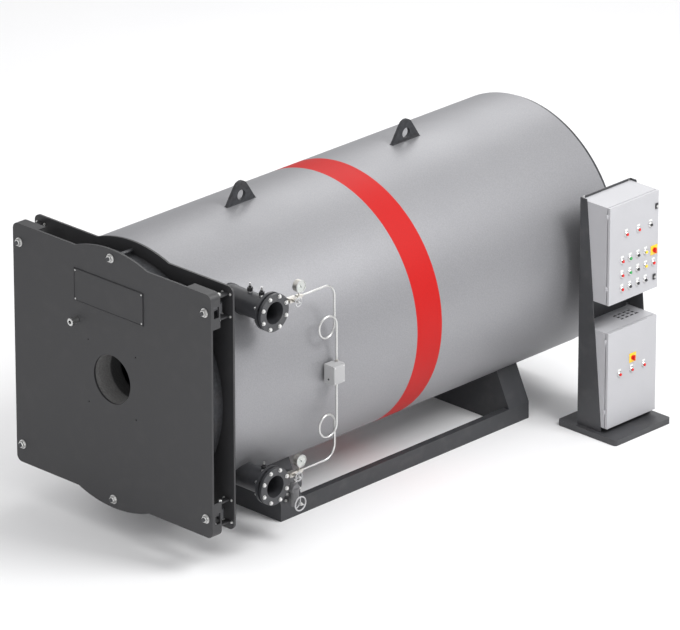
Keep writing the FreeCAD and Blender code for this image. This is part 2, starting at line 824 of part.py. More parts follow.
def cabinet_door(bottom, height, isolator_y, isolator_z):
    low = (door_rear_x, cabinet_y, bottom)
    high = (cabinet_face_x, cabinet_y + cabinet_width, bottom + height)
    shapes = [block(low, high)]
    knuckle_bores = []
    for z in hinge_heights(bottom, height):
        start_z = z + cabinet_leaf_height + pin_gap
        start = (cabinet_hinge_x, cabinet_hinge_y, start_z)
        length = cabinet_knuckle_height - pin_gap
        shapes.append(rod(start, AXIS_Z, cabinet_knuckle_radius, length))
        arm_low = (door_rear_x, cabinet_hinge_y, start_z)
        arm_high = (door_rear_x + cabinet_knuckle_radius, cabinet_y, start_z + length)
        shapes.append(block(arm_low, arm_high))
        knuckle_bores.append(rod(start, AXIS_Z, cabinet_pin_radius + pin_gap, length))
    door = fuse(shapes)
    for bore in knuckle_bores:
        door = door.cut(bore)
    shaft = rod((door_rear_x, cabinet_y + isolator_y, bottom + isolator_z), AXIS_X,
                isolator_shaft_radius + pin_gap, cabinet_door_thickness)
    return door.cut(shaft)


def lamp(y, z):
    return rod((cabinet_face_x, y, z), AXIS_X, lamp_radius, lamp_height)


def isolator_plate(y, z):
    half = isolator_plate_side / 2
    low = (cabinet_face_x, y - half, z - half)
    high = (cabinet_face_x + isolator_plate_thickness, y + half, z + half)
    hole = rod((cabinet_face_x, y, z), AXIS_X, isolator_shaft_radius + pin_gap, isolator_plate_thickness)
    return block(low, high).cut(hole)


def upper_controls():
    shapes = []
    for row in range(upper_lamp_rows):
        for column in range(upper_lamp_columns):
            is_isolator_place = row == upper_lamp_rows - 1 and column == upper_lamp_columns - 1
            is_bare_corner = row == 0 and column == upper_lamp_columns - 1
            if is_isolator_place or is_bare_corner:
                continue
            y = cabinet_y + lamp_first_y + column * lamp_pitch_y
            z = upper_cabinet_bottom + lamp_first_z + row * lamp_pitch_z
            shapes.append(lamp(y, z))
    for index in range(wide_lamp_count):
        y = cabinet_y + wide_lamp_first_y + index * wide_lamp_pitch
        shapes.append(lamp(y, upper_cabinet_bottom + wide_lamp_z))
    shapes.append(isolator_plate(cabinet_y + upper_isolator_y, upper_cabinet_bottom + upper_isolator_z))
    return shapes


def lower_controls():
    shapes = []
    for index in range(wide_lamp_count):
        y = cabinet_y + lower_lamp_first_y + index * wide_lamp_pitch
        shapes.append(lamp(y, lower_cabinet_bottom + lower_lamp_z))
    shapes.append(isolator_plate(cabinet_y + lower_isolator_y, lower_cabinet_bottom + lower_isolator_z))
    return shapes


def isolator(y, z):
    """A turning knob with an upright grip; its shaft runs through the door."""
    start_x = cabinet_face_x + isolator_plate_thickness + pin_gap
    shaft = rod((door_rear_x, y, z), AXIS_X, isolator_shaft_radius, start_x - door_rear_x + 1)
    knob = rod((start_x, y, z), AXIS_X, isolator_knob_radius, isolator_knob_height)
    grip_x = start_x + isolator_knob_height
    low = (grip_x - 1, y - isolator_grip_width / 2, z - isolator_grip_length / 2)
    high = (grip_x + isolator_grip_height, y + isolator_grip_width / 2, z + isolator_grip_length / 2)
    return fuse([shaft, knob, block(low, high)])


def upper_isolator():
    return isolator(cabinet_y + upper_isolator_y, upper_cabinet_bottom + upper_isolator_z)


def lower_isolator():
    return isolator(cabinet_y + lower_isolator_y, lower_cabinet_bottom + lower_isolator_z)


# write ---------------------------------------------------------------------

def write(name, shapes):
    solids = shapes if isinstance(shapes, list) else [shapes]
    if len(solids) == 1:
        solids[0].exportStep("parts/" + name + ".step")
    else:
        Part.makeCompound(solids).exportStep("parts/" + name + ".step")


def main():
    os.makedirs("parts", exist_ok=True)
    write("shell_jacket", shell_jacket())
    write("rear_end", rear_end())
    write("tube_plate", tube_plate())
    write("furnace_tube", furnace_tube())
    write("front_plate", front_plate())
    write("lifting_eyes", lifting_eyes())
    write("skid_rails", skid_rails())
    write("skid_end_plates", skid_end_plates())
    write("front_saddle", saddle(0.0))
    write("rear_saddle", saddle(saddle_spacing))
    write("nozzle_pipes", nozzle_pipes())
    write("nozzle_flanges", nozzle_flanges())
    write("counter_flanges", counter_flanges())
    write("probe_pockets", probe_pockets())
    write("corner_lugs", corner_lugs())
    write("clamp_rods", clamp_rods())
    write("hinge_rods", hinge_rods())
    write("door_plate", door_plate())
    write("door_drum", door_drum())
    write("door_refractory", door_refractory())
    write("door_corner_boxes", door_corner_boxes())
    write("name_plate", name_plate())
    write("sight_tube", sight_tube())
    write("pressure_tubes", pressure_tubes())
    write("gauge_valves", gauge_valves())
    write("gauges", gauges())
    write("pressure_switch", pressure_switch())
    write("lower_gauge_wheel", gauge_wheel_at(line_heights()[0]))
    write("upper_gauge_wheel", gauge_wheel_at(line_heights()[1]))
    write("drain_neck", drain_neck())
    write("drain_cover", drain_cover())
    write("drain_valve", drain_valve())
    write("drain_handwheel", drain_handwheel())
    write("stand_base", stand_base())
    write("stand_back", stand_back())
    write("stand_sides", stand_sides())
    write("upper_cabinet", cabinet(upper_cabinet_bottom, upper_cabinet_height, False))
    write("lower_cabinet", cabinet(lower_cabinet_bottom, lower_cabinet_height, True))
    write("upper_cabinet_door", cabinet_door(upper_cabinet_bottom, upper_cabinet_height,
                                             upper_isolator_y, upper_isolator_z))
    write("lower_cabinet_door", cabinet_door(lower_cabinet_bottom, lower_cabinet_height,
                                             lower_isolator_y, lower_isolator_z))
    write("upper_controls", upper_controls())
    write("lower_controls", lower_controls())
    write("upper_isolator", upper_isolator())
    write("lower_isolator", lower_isolator())


main()
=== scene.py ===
# %% [markdown]
# # An industrial boiler, finished in Blender
# The parts come from the CAD model as a fixed frame. This script never moves them. It gives every
# part its finish, adds the fasteners, dials, lamps, welds and seals that CAD leaves out, and sets
# up the floor, the light and the camera.

# %% Load the frame
import json
import math

import bmesh
import bpy
from mathutils import Matrix, Vector


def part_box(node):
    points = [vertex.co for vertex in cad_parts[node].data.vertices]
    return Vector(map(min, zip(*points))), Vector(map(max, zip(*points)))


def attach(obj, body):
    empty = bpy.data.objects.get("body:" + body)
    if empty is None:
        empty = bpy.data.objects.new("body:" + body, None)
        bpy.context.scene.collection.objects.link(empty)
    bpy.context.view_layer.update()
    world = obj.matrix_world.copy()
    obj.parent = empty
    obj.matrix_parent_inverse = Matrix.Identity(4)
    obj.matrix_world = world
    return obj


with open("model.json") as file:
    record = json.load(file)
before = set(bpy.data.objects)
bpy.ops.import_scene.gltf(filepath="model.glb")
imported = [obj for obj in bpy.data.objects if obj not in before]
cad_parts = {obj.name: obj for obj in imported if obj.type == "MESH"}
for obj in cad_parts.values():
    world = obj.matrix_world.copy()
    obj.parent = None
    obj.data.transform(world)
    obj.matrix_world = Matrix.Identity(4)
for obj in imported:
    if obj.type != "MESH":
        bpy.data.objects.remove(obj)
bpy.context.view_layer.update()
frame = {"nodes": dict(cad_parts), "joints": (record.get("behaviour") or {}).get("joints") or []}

nodes = frame["nodes"]

# %% [markdown]
# ## Shader maths as Python
# A finish is a small network of nodes. Drawing it by hand hides the sums, so here a node's output
# is wrapped in a class whose operators add Math nodes: `1 - mask` reads as it is meant. One method
# makes every other kind of node, with its settings first and then its sockets.


# %% Signals and wiring
class Signal:
    """One output of a node. Operators on it add Math nodes to its tree."""

    def __init__(self, wiring, socket):
        self.wiring = wiring
        self.socket = socket

    def sum_of(self, operation, first, second):
        return self.wiring.node("ShaderNodeMath", {"operation": operation}, {0: first, 1: second})

    def __add__(self, other):
        return self.sum_of("ADD", self, other)

    def __radd__(self, other):
        return self.sum_of("ADD", other, self)

    def __sub__(self, other):
        return self.sum_of("SUBTRACT", self, other)

    def __rsub__(self, other):
        return self.sum_of("SUBTRACT", other, self)

    def __mul__(self, other):
        return self.sum_of("MULTIPLY", self, other)

    def __rmul__(self, other):
        return self.sum_of("MULTIPLY", other, self)

    def __truediv__(self, other):
        return self.sum_of("DIVIDE", self, other)


class Wiring:
    """A node tree that is written from Python."""

    def __init__(self, tree):
        self.tree = tree

    def node(self, kind, settings=None, sockets=None, output=0):
        made = self.tree.nodes.new(kind)
        for name, value in (settings or {}).items():
            setattr(made, name, value)
        for key, value in (sockets or {}).items():
            for single in value if isinstance(value, list) else [value]:
                if isinstance(single, Signal):
                    self.tree.links.new(single.socket, made.inputs[key])
                else:
                    made.inputs[key].default_value = single
        return Signal(self, made.outputs[output]) if made.outputs else None


print("signals add, subtract, multiply and divide")

# %% [markdown]
# ## A finish
# All finishes start the same way: a Principled shader, Object coordinates in metres, and noise at
# the scale of the real surface. Object coordinates suit this model because every piece keeps its
# object at the origin, so a pattern never slides. Clouds a hand wide break up flat colour, and
# grain a millimetre wide gives the bump that catches the light.


# %% Finish
class Finish(Wiring):
    """A material: noise in metres, colours mixed by masks, and a Principled shader."""

    def __init__(self, name, roughness=0.5, metallic=0.0):
        self.material = bpy.data.materials.new(name)
        self.material.use_nodes = True
        super().__init__(self.material.node_tree)
        self.shader = self.tree.nodes["Principled BSDF"]
        self.place = self.node("ShaderNodeTexCoord", output="Object")
        self.give("Roughness", roughness)
        self.give("Metallic", metallic)

    def give(self, socket, value):
        if isinstance(value, Signal):
            self.tree.links.new(value.socket, self.shader.inputs[socket])
        else:
            self.shader.inputs[socket].default_value = value

    def noise(self, scale, detail=2.0, stretch=(1.0, 1.0, 1.0)):
        place = self.node("ShaderNodeVectorMath", {"operation": "MULTIPLY"}, {0: self.place, 1: stretch})
        return self.node("ShaderNodeTexNoise", {}, {"Vector": place, "Scale": scale, "Detail": detail})

    def between(self, value, low, high):
        """0 below low, 1 above high, and even in between."""
        return self.node("ShaderNodeMapRange", {"clamp": True},
                         {"Value": value, "From Min": low, "From Max": high})

    def blend(self, factor, first, second):
        return self.node("ShaderNodeMix", {"data_type": "RGBA"}, {0: factor, 6: first, 7: second}, output=2)

    def axis(self, name):
        return self.node("ShaderNodeSeparateXYZ", {}, {0: self.place}, output=name)

    def bump(self, height, distance, strength=1.0):
        sockets = {"Height": height, "Distance": distance, "Strength": strength}
        self.give("Normal", self.node("ShaderNodeBump", {}, sockets))


def rgb(red, green, blue):
    return (red, green, blue, 1.0)


def shade(colour, factor):
    return rgb(*[channel * factor for channel in colour[:3]])


print("finishes measure their grain in metres")

# %% [markdown]
# ## Paint, powder coat and plastic
# Most of the boiler is painted. Spray paint on plate has three things at once: slow clouds in its
# colour, a fine orange-peel bump, and faint patches of dust. One function makes them all, and each
# finish states only its colour, its gloss and its grain.


# %% Painted finishes
dust_colour = rgb(0.36, 0.34, 0.31)


def painted(name, colour, roughness, grain=350.0, depth=0.0004, cloud=0.18, dust=0.05):
    finish = Finish(name)
    clouds = finish.noise(2.3, detail=4.0)
    fine = finish.noise(grain, detail=3.0)
    tone = finish.blend(finish.between(clouds, 0.3, 0.7), shade(colour, 1 - cloud), shade(colour, 1 + cloud))
    grime = finish.between(finish.noise(7.0, detail=6.0), 0.52, 0.75)
    dusty = finish.blend(grime * dust, tone, dust_colour)
    finish.give("Base Color", dusty)
    finish.give("Roughness", roughness + clouds * 0.12 + fine * 0.08 - 0.1)
    finish.bump(fine, depth)
    return finish.material


door_paint = painted("door_paint", rgb(0.030, 0.030, 0.032), 0.50, grain=260.0, depth=0.0005, cloud=0.04,
                     dust=0.015)
skid_paint = painted("skid_paint", rgb(0.036, 0.037, 0.041), 0.52, grain=260.0, depth=0.0005, cloud=0.10)
pipe_paint = painted("pipe_paint", rgb(0.036, 0.037, 0.041), 0.38, grain=420.0, depth=0.0003)
stand_paint = painted("stand_paint", rgb(0.048, 0.049, 0.053), 0.50, grain=500.0, depth=0.0003)
cabinet_paint = painted("cabinet_paint", rgb(0.435, 0.435, 0.452), 0.48, grain=700.0, depth=0.0003,
                        cloud=0.03, dust=0.02)
switch_white = painted("switch_white", rgb(0.37, 0.37, 0.375), 0.42, grain=900.0, depth=0.0001, cloud=0.02)
wheel_paint = painted("wheel_paint", rgb(0.42, 0.42, 0.43), 0.34, grain=600.0, depth=0.0002)
cast_grey = painted("cast_grey", rgb(0.15, 0.15, 0.155), 0.48, grain=140.0, depth=0.0012, cloud=0.12)
black_plastic = painted("black_plastic", rgb(0.018, 0.018, 0.020), 0.32, grain=900.0, depth=0.0001)
red_plastic = painted("red_plastic", rgb(0.62, 0.015, 0.012), 0.26, grain=900.0, depth=0.0001, cloud=0.05)
green_plastic = painted("green_plastic", rgb(0.02, 0.33, 0.07), 0.26, grain=900.0, depth=0.0001, cloud=0.05)
yellow_plastic = painted("yellow_plastic", rgb(0.88, 0.58, 0.02), 0.30, grain=900.0, depth=0.0001, cloud=0.04)
pale_plastic = painted("pale_plastic", rgb(0.72, 0.73, 0.72), 0.28, grain=900.0, depth=0.0001, cloud=0.03)
# Black rubber for the door seals, also used as painted shade in the door gaps and under the roof slots.
seal_rubber = painted("seal_rubber", rgb(0.014, 0.014, 0.015), 0.70, grain=500.0, depth=0.0003)
paints = [door_paint, skid_paint, pipe_paint, stand_paint, cabinet_paint, wheel_paint, cast_grey]
print("paints on metal:", [paint.name for paint in paints])

# %% [markdown]
# ## Jacket sheet
# The shell wears a thin coated sheet: light grey, with a fine speckle and a little metal in it, so
# it takes broad soft highlights. The red belt is paint on the same sheet. It is a mask on the Y
# coordinate, with edges as crisp as masking tape leaves them.

# %% Jacket
belt_from_rear = 2.580
belt_width = 0.310
belt_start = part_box("shell_jacket")[1].y - belt_from_rear
belt_end = belt_start + belt_width
edge_width = 0.0015


def jacket_sheet():
    finish = Finish("jacket_sheet")
    y = finish.axis("Y")
    belt = finish.between(y, belt_start, belt_start + edge_width)
    belt = belt - finish.between(y, belt_end, belt_end + edge_width)
    speckle = finish.between(finish.noise(85.0, detail=5.0), 0.36, 0.66)
    clouds = finish.between(finish.noise(1.1, detail=3.0), 0.3, 0.7)
    fleck = finish.between(finish.noise(150.0, detail=2.0), 0.66, 0.74)
    sheet = finish.blend(speckle, rgb(0.268, 0.268, 0.280), rgb(0.305, 0.305, 0.316))
    sheet = finish.blend(fleck * 0.35, sheet, rgb(0.46, 0.46, 0.47))
    sheet = finish.blend(clouds * 0.15, sheet, rgb(0.20, 0.20, 0.212))
    red = finish.blend(speckle, rgb(0.42, 0.004, 0.003), rgb(0.46, 0.005, 0.004))
    finish.give("Base Color", finish.blend(belt, sheet, red))
    finish.give("Metallic", 0.45 - belt * 0.45)
    finish.give("Roughness", 0.43 + speckle * 0.06 + clouds * 0.05 + belt * 0.10)
    finish.give("Specular IOR Level", 0.25)
    finish.bump(speckle, 0.0004, 0.6)
    return finish.material


jacket = jacket_sheet()
print("the belt starts at y", round(belt_start, 3), "and ends at y", round(belt_end, 3))

# %% [markdown]
# ## Bare metals and refractory
# Zinc plating is bright with a blotchy grey haze, and drawn tube has faint lines along it. The
# cast lining of the door is a pale, pitted cement. Deeper in its bore the lining is painted
# near-black, as painted shade for the dark inside of the bore. The dark steel inside the shell is scale.


# %% Metals
def bare_metal(name, colour, roughness, blotch=40.0, stretch=(1.0, 1.0, 1.0)):
    finish = Finish(name, metallic=1.0)
    haze = finish.between(finish.noise(blotch, detail=5.0, stretch=stretch), 0.3, 0.7)
    lines = finish.noise(900.0, detail=2.0, stretch=stretch)
    finish.give("Base Color", finish.blend(haze, shade(colour, 0.74), colour))
    finish.give("Roughness", roughness + haze * 0.12 + lines * 0.08)
    finish.bump(lines, 0.0001)
    return finish.material


# How deep the lit mouth of the burner bore reaches before the painted shade begins.
lit_mouth_depth = 0.187
shade_fade_length = 0.020


def cement():
    finish = Finish("refractory", roughness=0.92)
    pits = finish.noise(55.0, detail=8.0)
    stain = finish.between(finish.noise(3.0, detail=5.0), 0.35, 0.72)
    pale = finish.blend(finish.between(pits, 0.3, 0.7), rgb(0.150, 0.149, 0.148), rgb(0.205, 0.203, 0.200))
    stained = finish.blend(stain * 0.5, pale, rgb(0.095, 0.092, 0.090))
    # Past the lit mouth the lining is blended to near-black: painted shade for the dark inside of the bore.
    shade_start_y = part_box("door_plate")[0].y + lit_mouth_depth
    deep_bore_shade = finish.between(finish.axis("Y"), shade_start_y, shade_start_y + shade_fade_length)
    finish.give("Base Color", finish.blend(deep_bore_shade * 0.9, stained, rgb(0.016, 0.016, 0.017)))
    finish.bump(pits, 0.004)
    return finish.material


def scale_steel():
    finish = Finish("dark_steel", metallic=0.35)
    crust = finish.noise(38.0, detail=7.0)
    rusty = finish.between(finish.noise(4.0, detail=5.0), 0.5, 0.8)
    grey = finish.blend(finish.between(crust, 0.3, 0.7), rgb(0.030, 0.031, 0.034), rgb(0.060, 0.062, 0.068))
    finish.give("Base Color", finish.blend(rusty * 0.12, grey, rgb(0.11, 0.055, 0.030)))
    finish.give("Roughness", 0.55 + crust * 0.2)
    finish.bump(crust, 0.0008)
    return finish.material


bright_zinc = bare_metal("bright_zinc", rgb(0.74, 0.74, 0.73), 0.24)
drawn_tube = bare_metal("drawn_tube", rgb(0.70, 0.70, 0.69), 0.22, stretch=(6.0, 0.6, 6.0))
valve_metal = bare_metal("valve_metal", rgb(0.66, 0.64, 0.60), 0.30, blotch=60.0)
refractory = cement()
dark_steel = scale_steel()
print("metals:", [metal.name for metal in (bright_zinc, drawn_tube, valve_metal, dark_steel)])

# %% [markdown]
# ## Dial card and glass
# A gauge needs a matt white card, and a pane that is clear in the middle with a sheen at its rim.
# Clear glass here is the Principled shader with full transmission and a thin bluish tint.


# %% Dial and glass
def dial_card():
    finish = Finish("dial_card", roughness=0.6)
    fibre = finish.noise(700.0, detail=3.0)
    finish.give("Base Color", finish.blend(fibre, rgb(0.74, 0.74, 0.71), rgb(0.82, 0.82, 0.79)))
    finish.bump(fibre, 0.00005)
    return finish.material


def clear_glass():
    finish = Finish("clear_glass")
    smear = finish.between(finish.noise(60.0, detail=4.0), 0.4, 0.8)
    finish.give("Transmission Weight", 1.0)
    finish.give("IOR", 1.25)
    finish.give("Base Color", finish.blend(smear, rgb(0.97, 0.98, 0.98), rgb(0.90, 0.93, 0.93)))
    finish.give("Roughness", 0.02 + smear * 0.05)
    return finish.material


card = dial_card()
glass = clear_glass()

# %% [markdown]
# ## Finishes on the CAD parts
# Each CAD part gets its finish by name. Its mesh isn't touched: only the material slot changes.

# %% Dress the parts
finish_of = {
    jacket: ["shell_jacket"],
    dark_steel: ["rear_end", "tube_plate", "furnace_tube", "door_drum", "lifting_eyes"],
    door_paint: ["front_plate", "corner_lugs", "door_plate", "door_corner_boxes", "name_plate"],
    skid_paint: ["skid_rails", "skid_end_plates", "front_saddle", "rear_saddle"],
    pipe_paint: ["nozzle_pipes", "nozzle_flanges", "counter_flanges", "drain_neck", "drain_cover",
                 "clamp_rods", "hinge_rods"],
    bright_zinc: ["sight_tube", "probe_pockets"],
    valve_metal: ["gauge_valves", "gauges"],
    cast_grey: ["drain_valve"],
    drawn_tube: ["pressure_tubes"],
    switch_white: ["pressure_switch"],
    wheel_paint: ["lower_gauge_wheel", "upper_gauge_wheel", "drain_handwheel"],
    stand_paint: ["stand_base", "stand_back", "stand_sides"],
    cabinet_paint: ["upper_cabinet", "lower_cabinet", "upper_cabinet_door", "lower_cabinet_door"],
    black_plastic: ["upper_controls", "lower_controls"],
    red_plastic: ["upper_isolator", "lower_isolator"],
    refractory: ["door_refractory"],
}
for material, names in finish_of.items():
    for name in names:
        mesh = nodes[name].data
        mesh.materials.clear()
        mesh.materials.append(material)
undressed = set(nodes) - {name for names in finish_of.values() for name in names}
print("parts without a finish:", sorted(undressed))

# %% [markdown]
# ## Places worked out from the parts
# Fasteners and dials sit where the parts say. A joint's pivot gives a hinge pin or a wheel's axis,
# and a part's box gives its faces, so nothing here has to be fitted by eye.

# %% Places
pivot = {joint["name"]: Vector(joint["pos_m"]) for joint in frame["joints"]}
axis_height = pivot["boiler_door_hinge"].z
clamp_x = pivot["boiler_door_hinge"].x
pin_y = pivot["boiler_door_hinge"].y
door_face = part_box("door_plate")[0].y
front_plate_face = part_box("front_plate")[0].y
eye_half_height = 0.045
rod_radius = 0.018
clamp_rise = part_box("hinge_rods")[1].z - eye_half_height - axis_height
stud_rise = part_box("clamp_rods")[1].z - rod_radius - axis_height
shell_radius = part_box("shell_jacket")[1].x
corners = [(side * clamp_x, axis_height + level * clamp_rise) for side in (-1, 1) for level in (-1, 1)]
studs = [(0.0, axis_height + level * stud_rise) for level in (-1, 1)]
pipe_low, pipe_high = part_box("nozzle_flanges")
flange_radius = 0.170
nozzle_y = (pipe_low.y + pipe_high.y) / 2
nozzle_heights = [pipe_low.z + flange_radius, pipe_high.z - flange_radius]
nozzle_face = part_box("counter_flanges")[1].x
drain_low, drain_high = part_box("drain_cover")
drain_centre = Vector((drain_high.x, (drain_low.y + drain_high.y) / 2, (drain_low.z + drain_high.z) / 2))
print("clamp rods at x", round(clamp_x, 3), "nozzles at z", [round(z, 3) for z in nozzle_heights])

# %% [markdown]
# ## Fasteners by Geometry Nodes
# There are over a hundred bolts and nuts. One tree makes them all: a washer, a hexagon with a
# chamfered top, and the end of the thread, joined and set on every point of a mesh that holds
# nothing but places. The sizes are named inputs, so a clamp nut and a cover screw differ only in
# their numbers. The tree ends in Realize Instances, because an exported model drops instances.


# %% Fastener tree
class Recipe(Wiring):
    """A geometry node tree with named inputs."""

    def __init__(self, name, numbers):
        tree = bpy.data.node_groups.new(name, "GeometryNodeTree")
        super().__init__(tree)
        tree.interface.new_socket("Geometry", in_out="INPUT", socket_type="NodeSocketGeometry")
        for label, value in numbers.items():
            socket = tree.interface.new_socket(label, in_out="INPUT", socket_type="NodeSocketFloat")
            socket.default_value = value
        tree.interface.new_socket("Turn", in_out="INPUT", socket_type="NodeSocketVector")
        tree.interface.new_socket("Material", in_out="INPUT", socket_type="NodeSocketMaterial")
        tree.interface.new_socket("Geometry", in_out="OUTPUT", socket_type="NodeSocketGeometry")
        self.entry = tree.nodes.new("NodeGroupInput")

    def given(self, name):
        return Signal(self, self.entry.outputs[name])

    def lifted(self, shape, height):
        lift = self.node("ShaderNodeCombineXYZ", {}, {"Z": height})
        return self.node("GeometryNodeTransform", {}, {"Geometry": shape, "Translation": lift})

    def close(self, instances):
        real = self.node("GeometryNodeRealizeInstances", {}, {"Geometry": instances})
        sockets = {"Geometry": real, "Material": self.given("Material")}
        dressed = self.node("GeometryNodeSetMaterial", {}, sockets)
        self.node("NodeGroupOutput", {}, {0: dressed})


def fastener_recipe():
    sizes = {"Washer Radius": 0.02, "Washer Thickness": 0.003, "Head Radius": 0.016,
             "Head Height": 0.012, "Thread Radius": 0.008, "Thread Length": 0.006}
    recipe = Recipe("fasteners", sizes)
    washer_thickness = recipe.given("Washer Thickness")
    head_radius = recipe.given("Head Radius")
    head_height = recipe.given("Head Height")
    thread_length = recipe.given("Thread Length")
    body_height = head_height * 0.84
    washer = recipe.node("GeometryNodeMeshCylinder", {},
                         {"Vertices": 28, "Radius": recipe.given("Washer Radius"), "Depth": washer_thickness})
    head = recipe.node("GeometryNodeMeshCylinder", {},
                       {"Vertices": 6, "Radius": head_radius, "Depth": body_height})
    chamfer = recipe.node("GeometryNodeMeshCone", {},
                          {"Vertices": 6, "Radius Top": head_radius * 0.86, "Radius Bottom": head_radius,
                           "Depth": head_height * 0.16})
    thread = recipe.node("GeometryNodeMeshCylinder", {},
                         {"Vertices": 18, "Radius": recipe.given("Thread Radius"), "Depth": thread_length})
    parts = [
        recipe.lifted(washer, washer_thickness * 0.5),
        recipe.lifted(head, washer_thickness + body_height * 0.5),
        recipe.lifted(chamfer, washer_thickness + body_height),
        recipe.lifted(thread, washer_thickness + head_height + thread_length * 0.5),
    ]
    fastener = recipe.node("GeometryNodeJoinGeometry", {}, {0: parts})
    turn = recipe.node("FunctionNodeEulerToRotation", {}, {0: recipe.given("Turn")})
    set_out = recipe.node("GeometryNodeInstanceOnPoints", {},
                          {"Points": recipe.given("Geometry"), "Instance": fastener, "Rotation": turn})
    recipe.close(set_out)
    return recipe


def grow(name, recipe, places, body, material, turn, **sizes):
    """Runs a recipe on a mesh of bare points and keeps the result as a plain mesh."""
    points = bpy.data.meshes.new(name + "_points")
    points.from_pydata([tuple(place) for place in places], [], [])
    host = bpy.data.objects.new(name + "_host", points)
    bpy.context.scene.collection.objects.link(host)
    modifier = host.modifiers.new("recipe", "NODES")
    modifier.node_group = recipe.tree
    values = {label.replace("_", " ").title(): value for label, value in sizes.items()}
    values.update({"Turn": turn, "Material": material})
    for item in recipe.tree.interface.items_tree:
        if item.in_out == "INPUT" and item.name in values:
            modifier[item.identifier] = values[item.name]
    graph = bpy.context.evaluated_depsgraph_get()
    mesh = bpy.data.meshes.new_from_object(host.evaluated_get(graph), depsgraph=graph)
    host.modifiers.clear()
    bpy.data.objects.remove(host)
    return piece(name, mesh, body)


def piece(name, mesh, body, material=None):
    """Links a finished mesh as an object that rides on a body."""
    if material:
        mesh.materials.clear()
        mesh.materials.append(material)
    made = bpy.data.objects.new(name, mesh)
    bpy.context.scene.collection.objects.link(made)
    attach(made, body)
    return made


fasteners = fastener_recipe()
to_front = (math.pi / 2, 0.0, 0.0)
to_right = (0.0, math.pi / 2, 0.0)
to_left = (0.0, -math.pi / 2, 0.0)
upward = (0.0, 0.0, 0.0)
downward = (math.pi, 0.0, 0.0)
print("fastener inputs:", [item.name for item in fasteners.tree.interface.items_tree][1:-1])

# %% [markdown]
# ## Clamp nuts, hinge bolts and lug bolts
# Six large nuts on wide washers hold the door shut: one on each corner rod and one on the stud at
# the top and at the bottom. The nuts ride with the door. Each corner's pin is a long bolt with a
# head above and a nut below, and four small bolts beside the lugs hold them to the front plate.

# %% Door fasteners
nut_places = [(x, door_face, z) for x, z in corners + studs]
grow("clamp_nuts", fasteners, nut_places, "boiler_door", bright_zinc, to_front,
     washer_radius=0.041, washer_thickness=0.005, head_radius=0.031, head_height=0.027,
     thread_radius=0.0179, thread_length=0.007)
lug_reach = 0.110
pin_sizes = {"washer_radius": 0.024, "washer_thickness": 0.003, "head_radius": 0.022, "head_height": 0.014,
             "thread_radius": 0.0135, "thread_length": 0.002}
pin_tops = [(x, pin_y, z + lug_reach) for x, z in corners]
pin_feet = [(x, pin_y, z - lug_reach) for x, z in corners]
grow("pin_heads", fasteners, pin_tops, "boiler", bright_zinc, upward, **pin_sizes)
grow("pin_nuts", fasteners, pin_feet, "boiler", bright_zinc, downward, **pin_sizes)
lug_bolt_step = 0.046
lug_bolt_rise = 0.1025
lug_bolts = [(x + side * lug_bolt_step, front_plate_face, z + level * lug_bolt_rise)
             for x, z in corners for side in (-1, 1) for level in (-1, 1)]
grow("lug_bolts", fasteners, lug_bolts, "boiler", bright_zinc, to_front,
     washer_radius=0.013, washer_thickness=0.002, head_radius=0.011, head_height=0.008,
     thread_radius=0.006, thread_length=0.003)
print("nuts:", len(nut_places), "lug bolts:", len(lug_bolts))

# %% [markdown]
# ## Flange bolts
# A flange is drawn together by a ring of bolts. The places come from a circle: the holes straddle
# the centre lines, so the first one stands half a step from the horizontal. Heads face outwards,
# and nuts with a bit of thread show behind the flange.


# %% Flange fasteners
def ring(x, y, z, radius, count, first=0.5):
    """Places on a circle about an axis along X."""
    steps = [2 * math.pi * (index + first) / count for index in range(count)]
    return [(x, y + radius * math.cos(angle), z + radius * math.sin(angle)) for angle in steps]


nozzle_circle = 0.1475
nozzle_bolts = 8
nozzle_back = pipe_low.x
heads, backs = [[spot for z in nozzle_heights for spot in ring(x, nozzle_y, z, nozzle_circle, nozzle_bolts)]
                for x in (nozzle_face, nozzle_back)]
grow("nozzle_bolt_heads", fasteners, heads, "boiler", bright_zinc, to_right,
     washer_radius=0.0185, washer_thickness=0.003, head_radius=0.0165, head_height=0.012,
     thread_radius=0.009, thread_length=0.001)
grow("nozzle_bolt_nuts", fasteners, backs, "boiler", bright_zinc, to_left,
     washer_radius=0.0185, washer_thickness=0.003, head_radius=0.0165, head_height=0.016,
     thread_radius=0.010, thread_length=0.010)
cover_circle = 0.125
cover_bolts = 8
neck_flange_thickness = 0.019
cover_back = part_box("drain_neck")[1].x - neck_flange_thickness
cover_sizes = {"washer_radius": 0.014, "washer_thickness": 0.0025, "head_radius": 0.012,
               "head_height": 0.010, "thread_radius": 0.008, "thread_length": 0.005}
for name, x, turn in (("cover_bolts", drain_high.x, to_right), ("cover_nuts", cover_back, to_left)):
    spots = ring(x, drain_centre.y, drain_centre.z, cover_circle, cover_bolts)
    grow(name, fasteners, spots, "boiler", bright_zinc, turn, **cover_sizes)
valve_flange_thickness = 0.018
valve_circle = 0.066
valve_bolts = 4
valve_flange_face = drain_high.x + valve_flange_thickness
valve_spots = ring(valve_flange_face, drain_centre.y, drain_centre.z, valve_circle, valve_bolts)
grow("drain_valve_bolts", fasteners, valve_spots, "boiler", bright_zinc, to_right, **cover_sizes)
print("flange bolts:", len(heads), "cover bolts:", cover_bolts, "valve bolts:", len(valve_spots))

# %% [markdown]
# ## Turned pieces
# Bezels, lamp caps, lenses and dial rims are turned shapes. A profile of radius and height is
# spun about an axis in plain mesh code, which is exact and light. A profile that starts and ends
# on the axis is a solid, and a closed profile off the axis is a ring. Edges sharper than 30
# degrees stay sharp, and the rest shade smooth.

# %% Turned shapes
sharp_angle = math.radians(30)


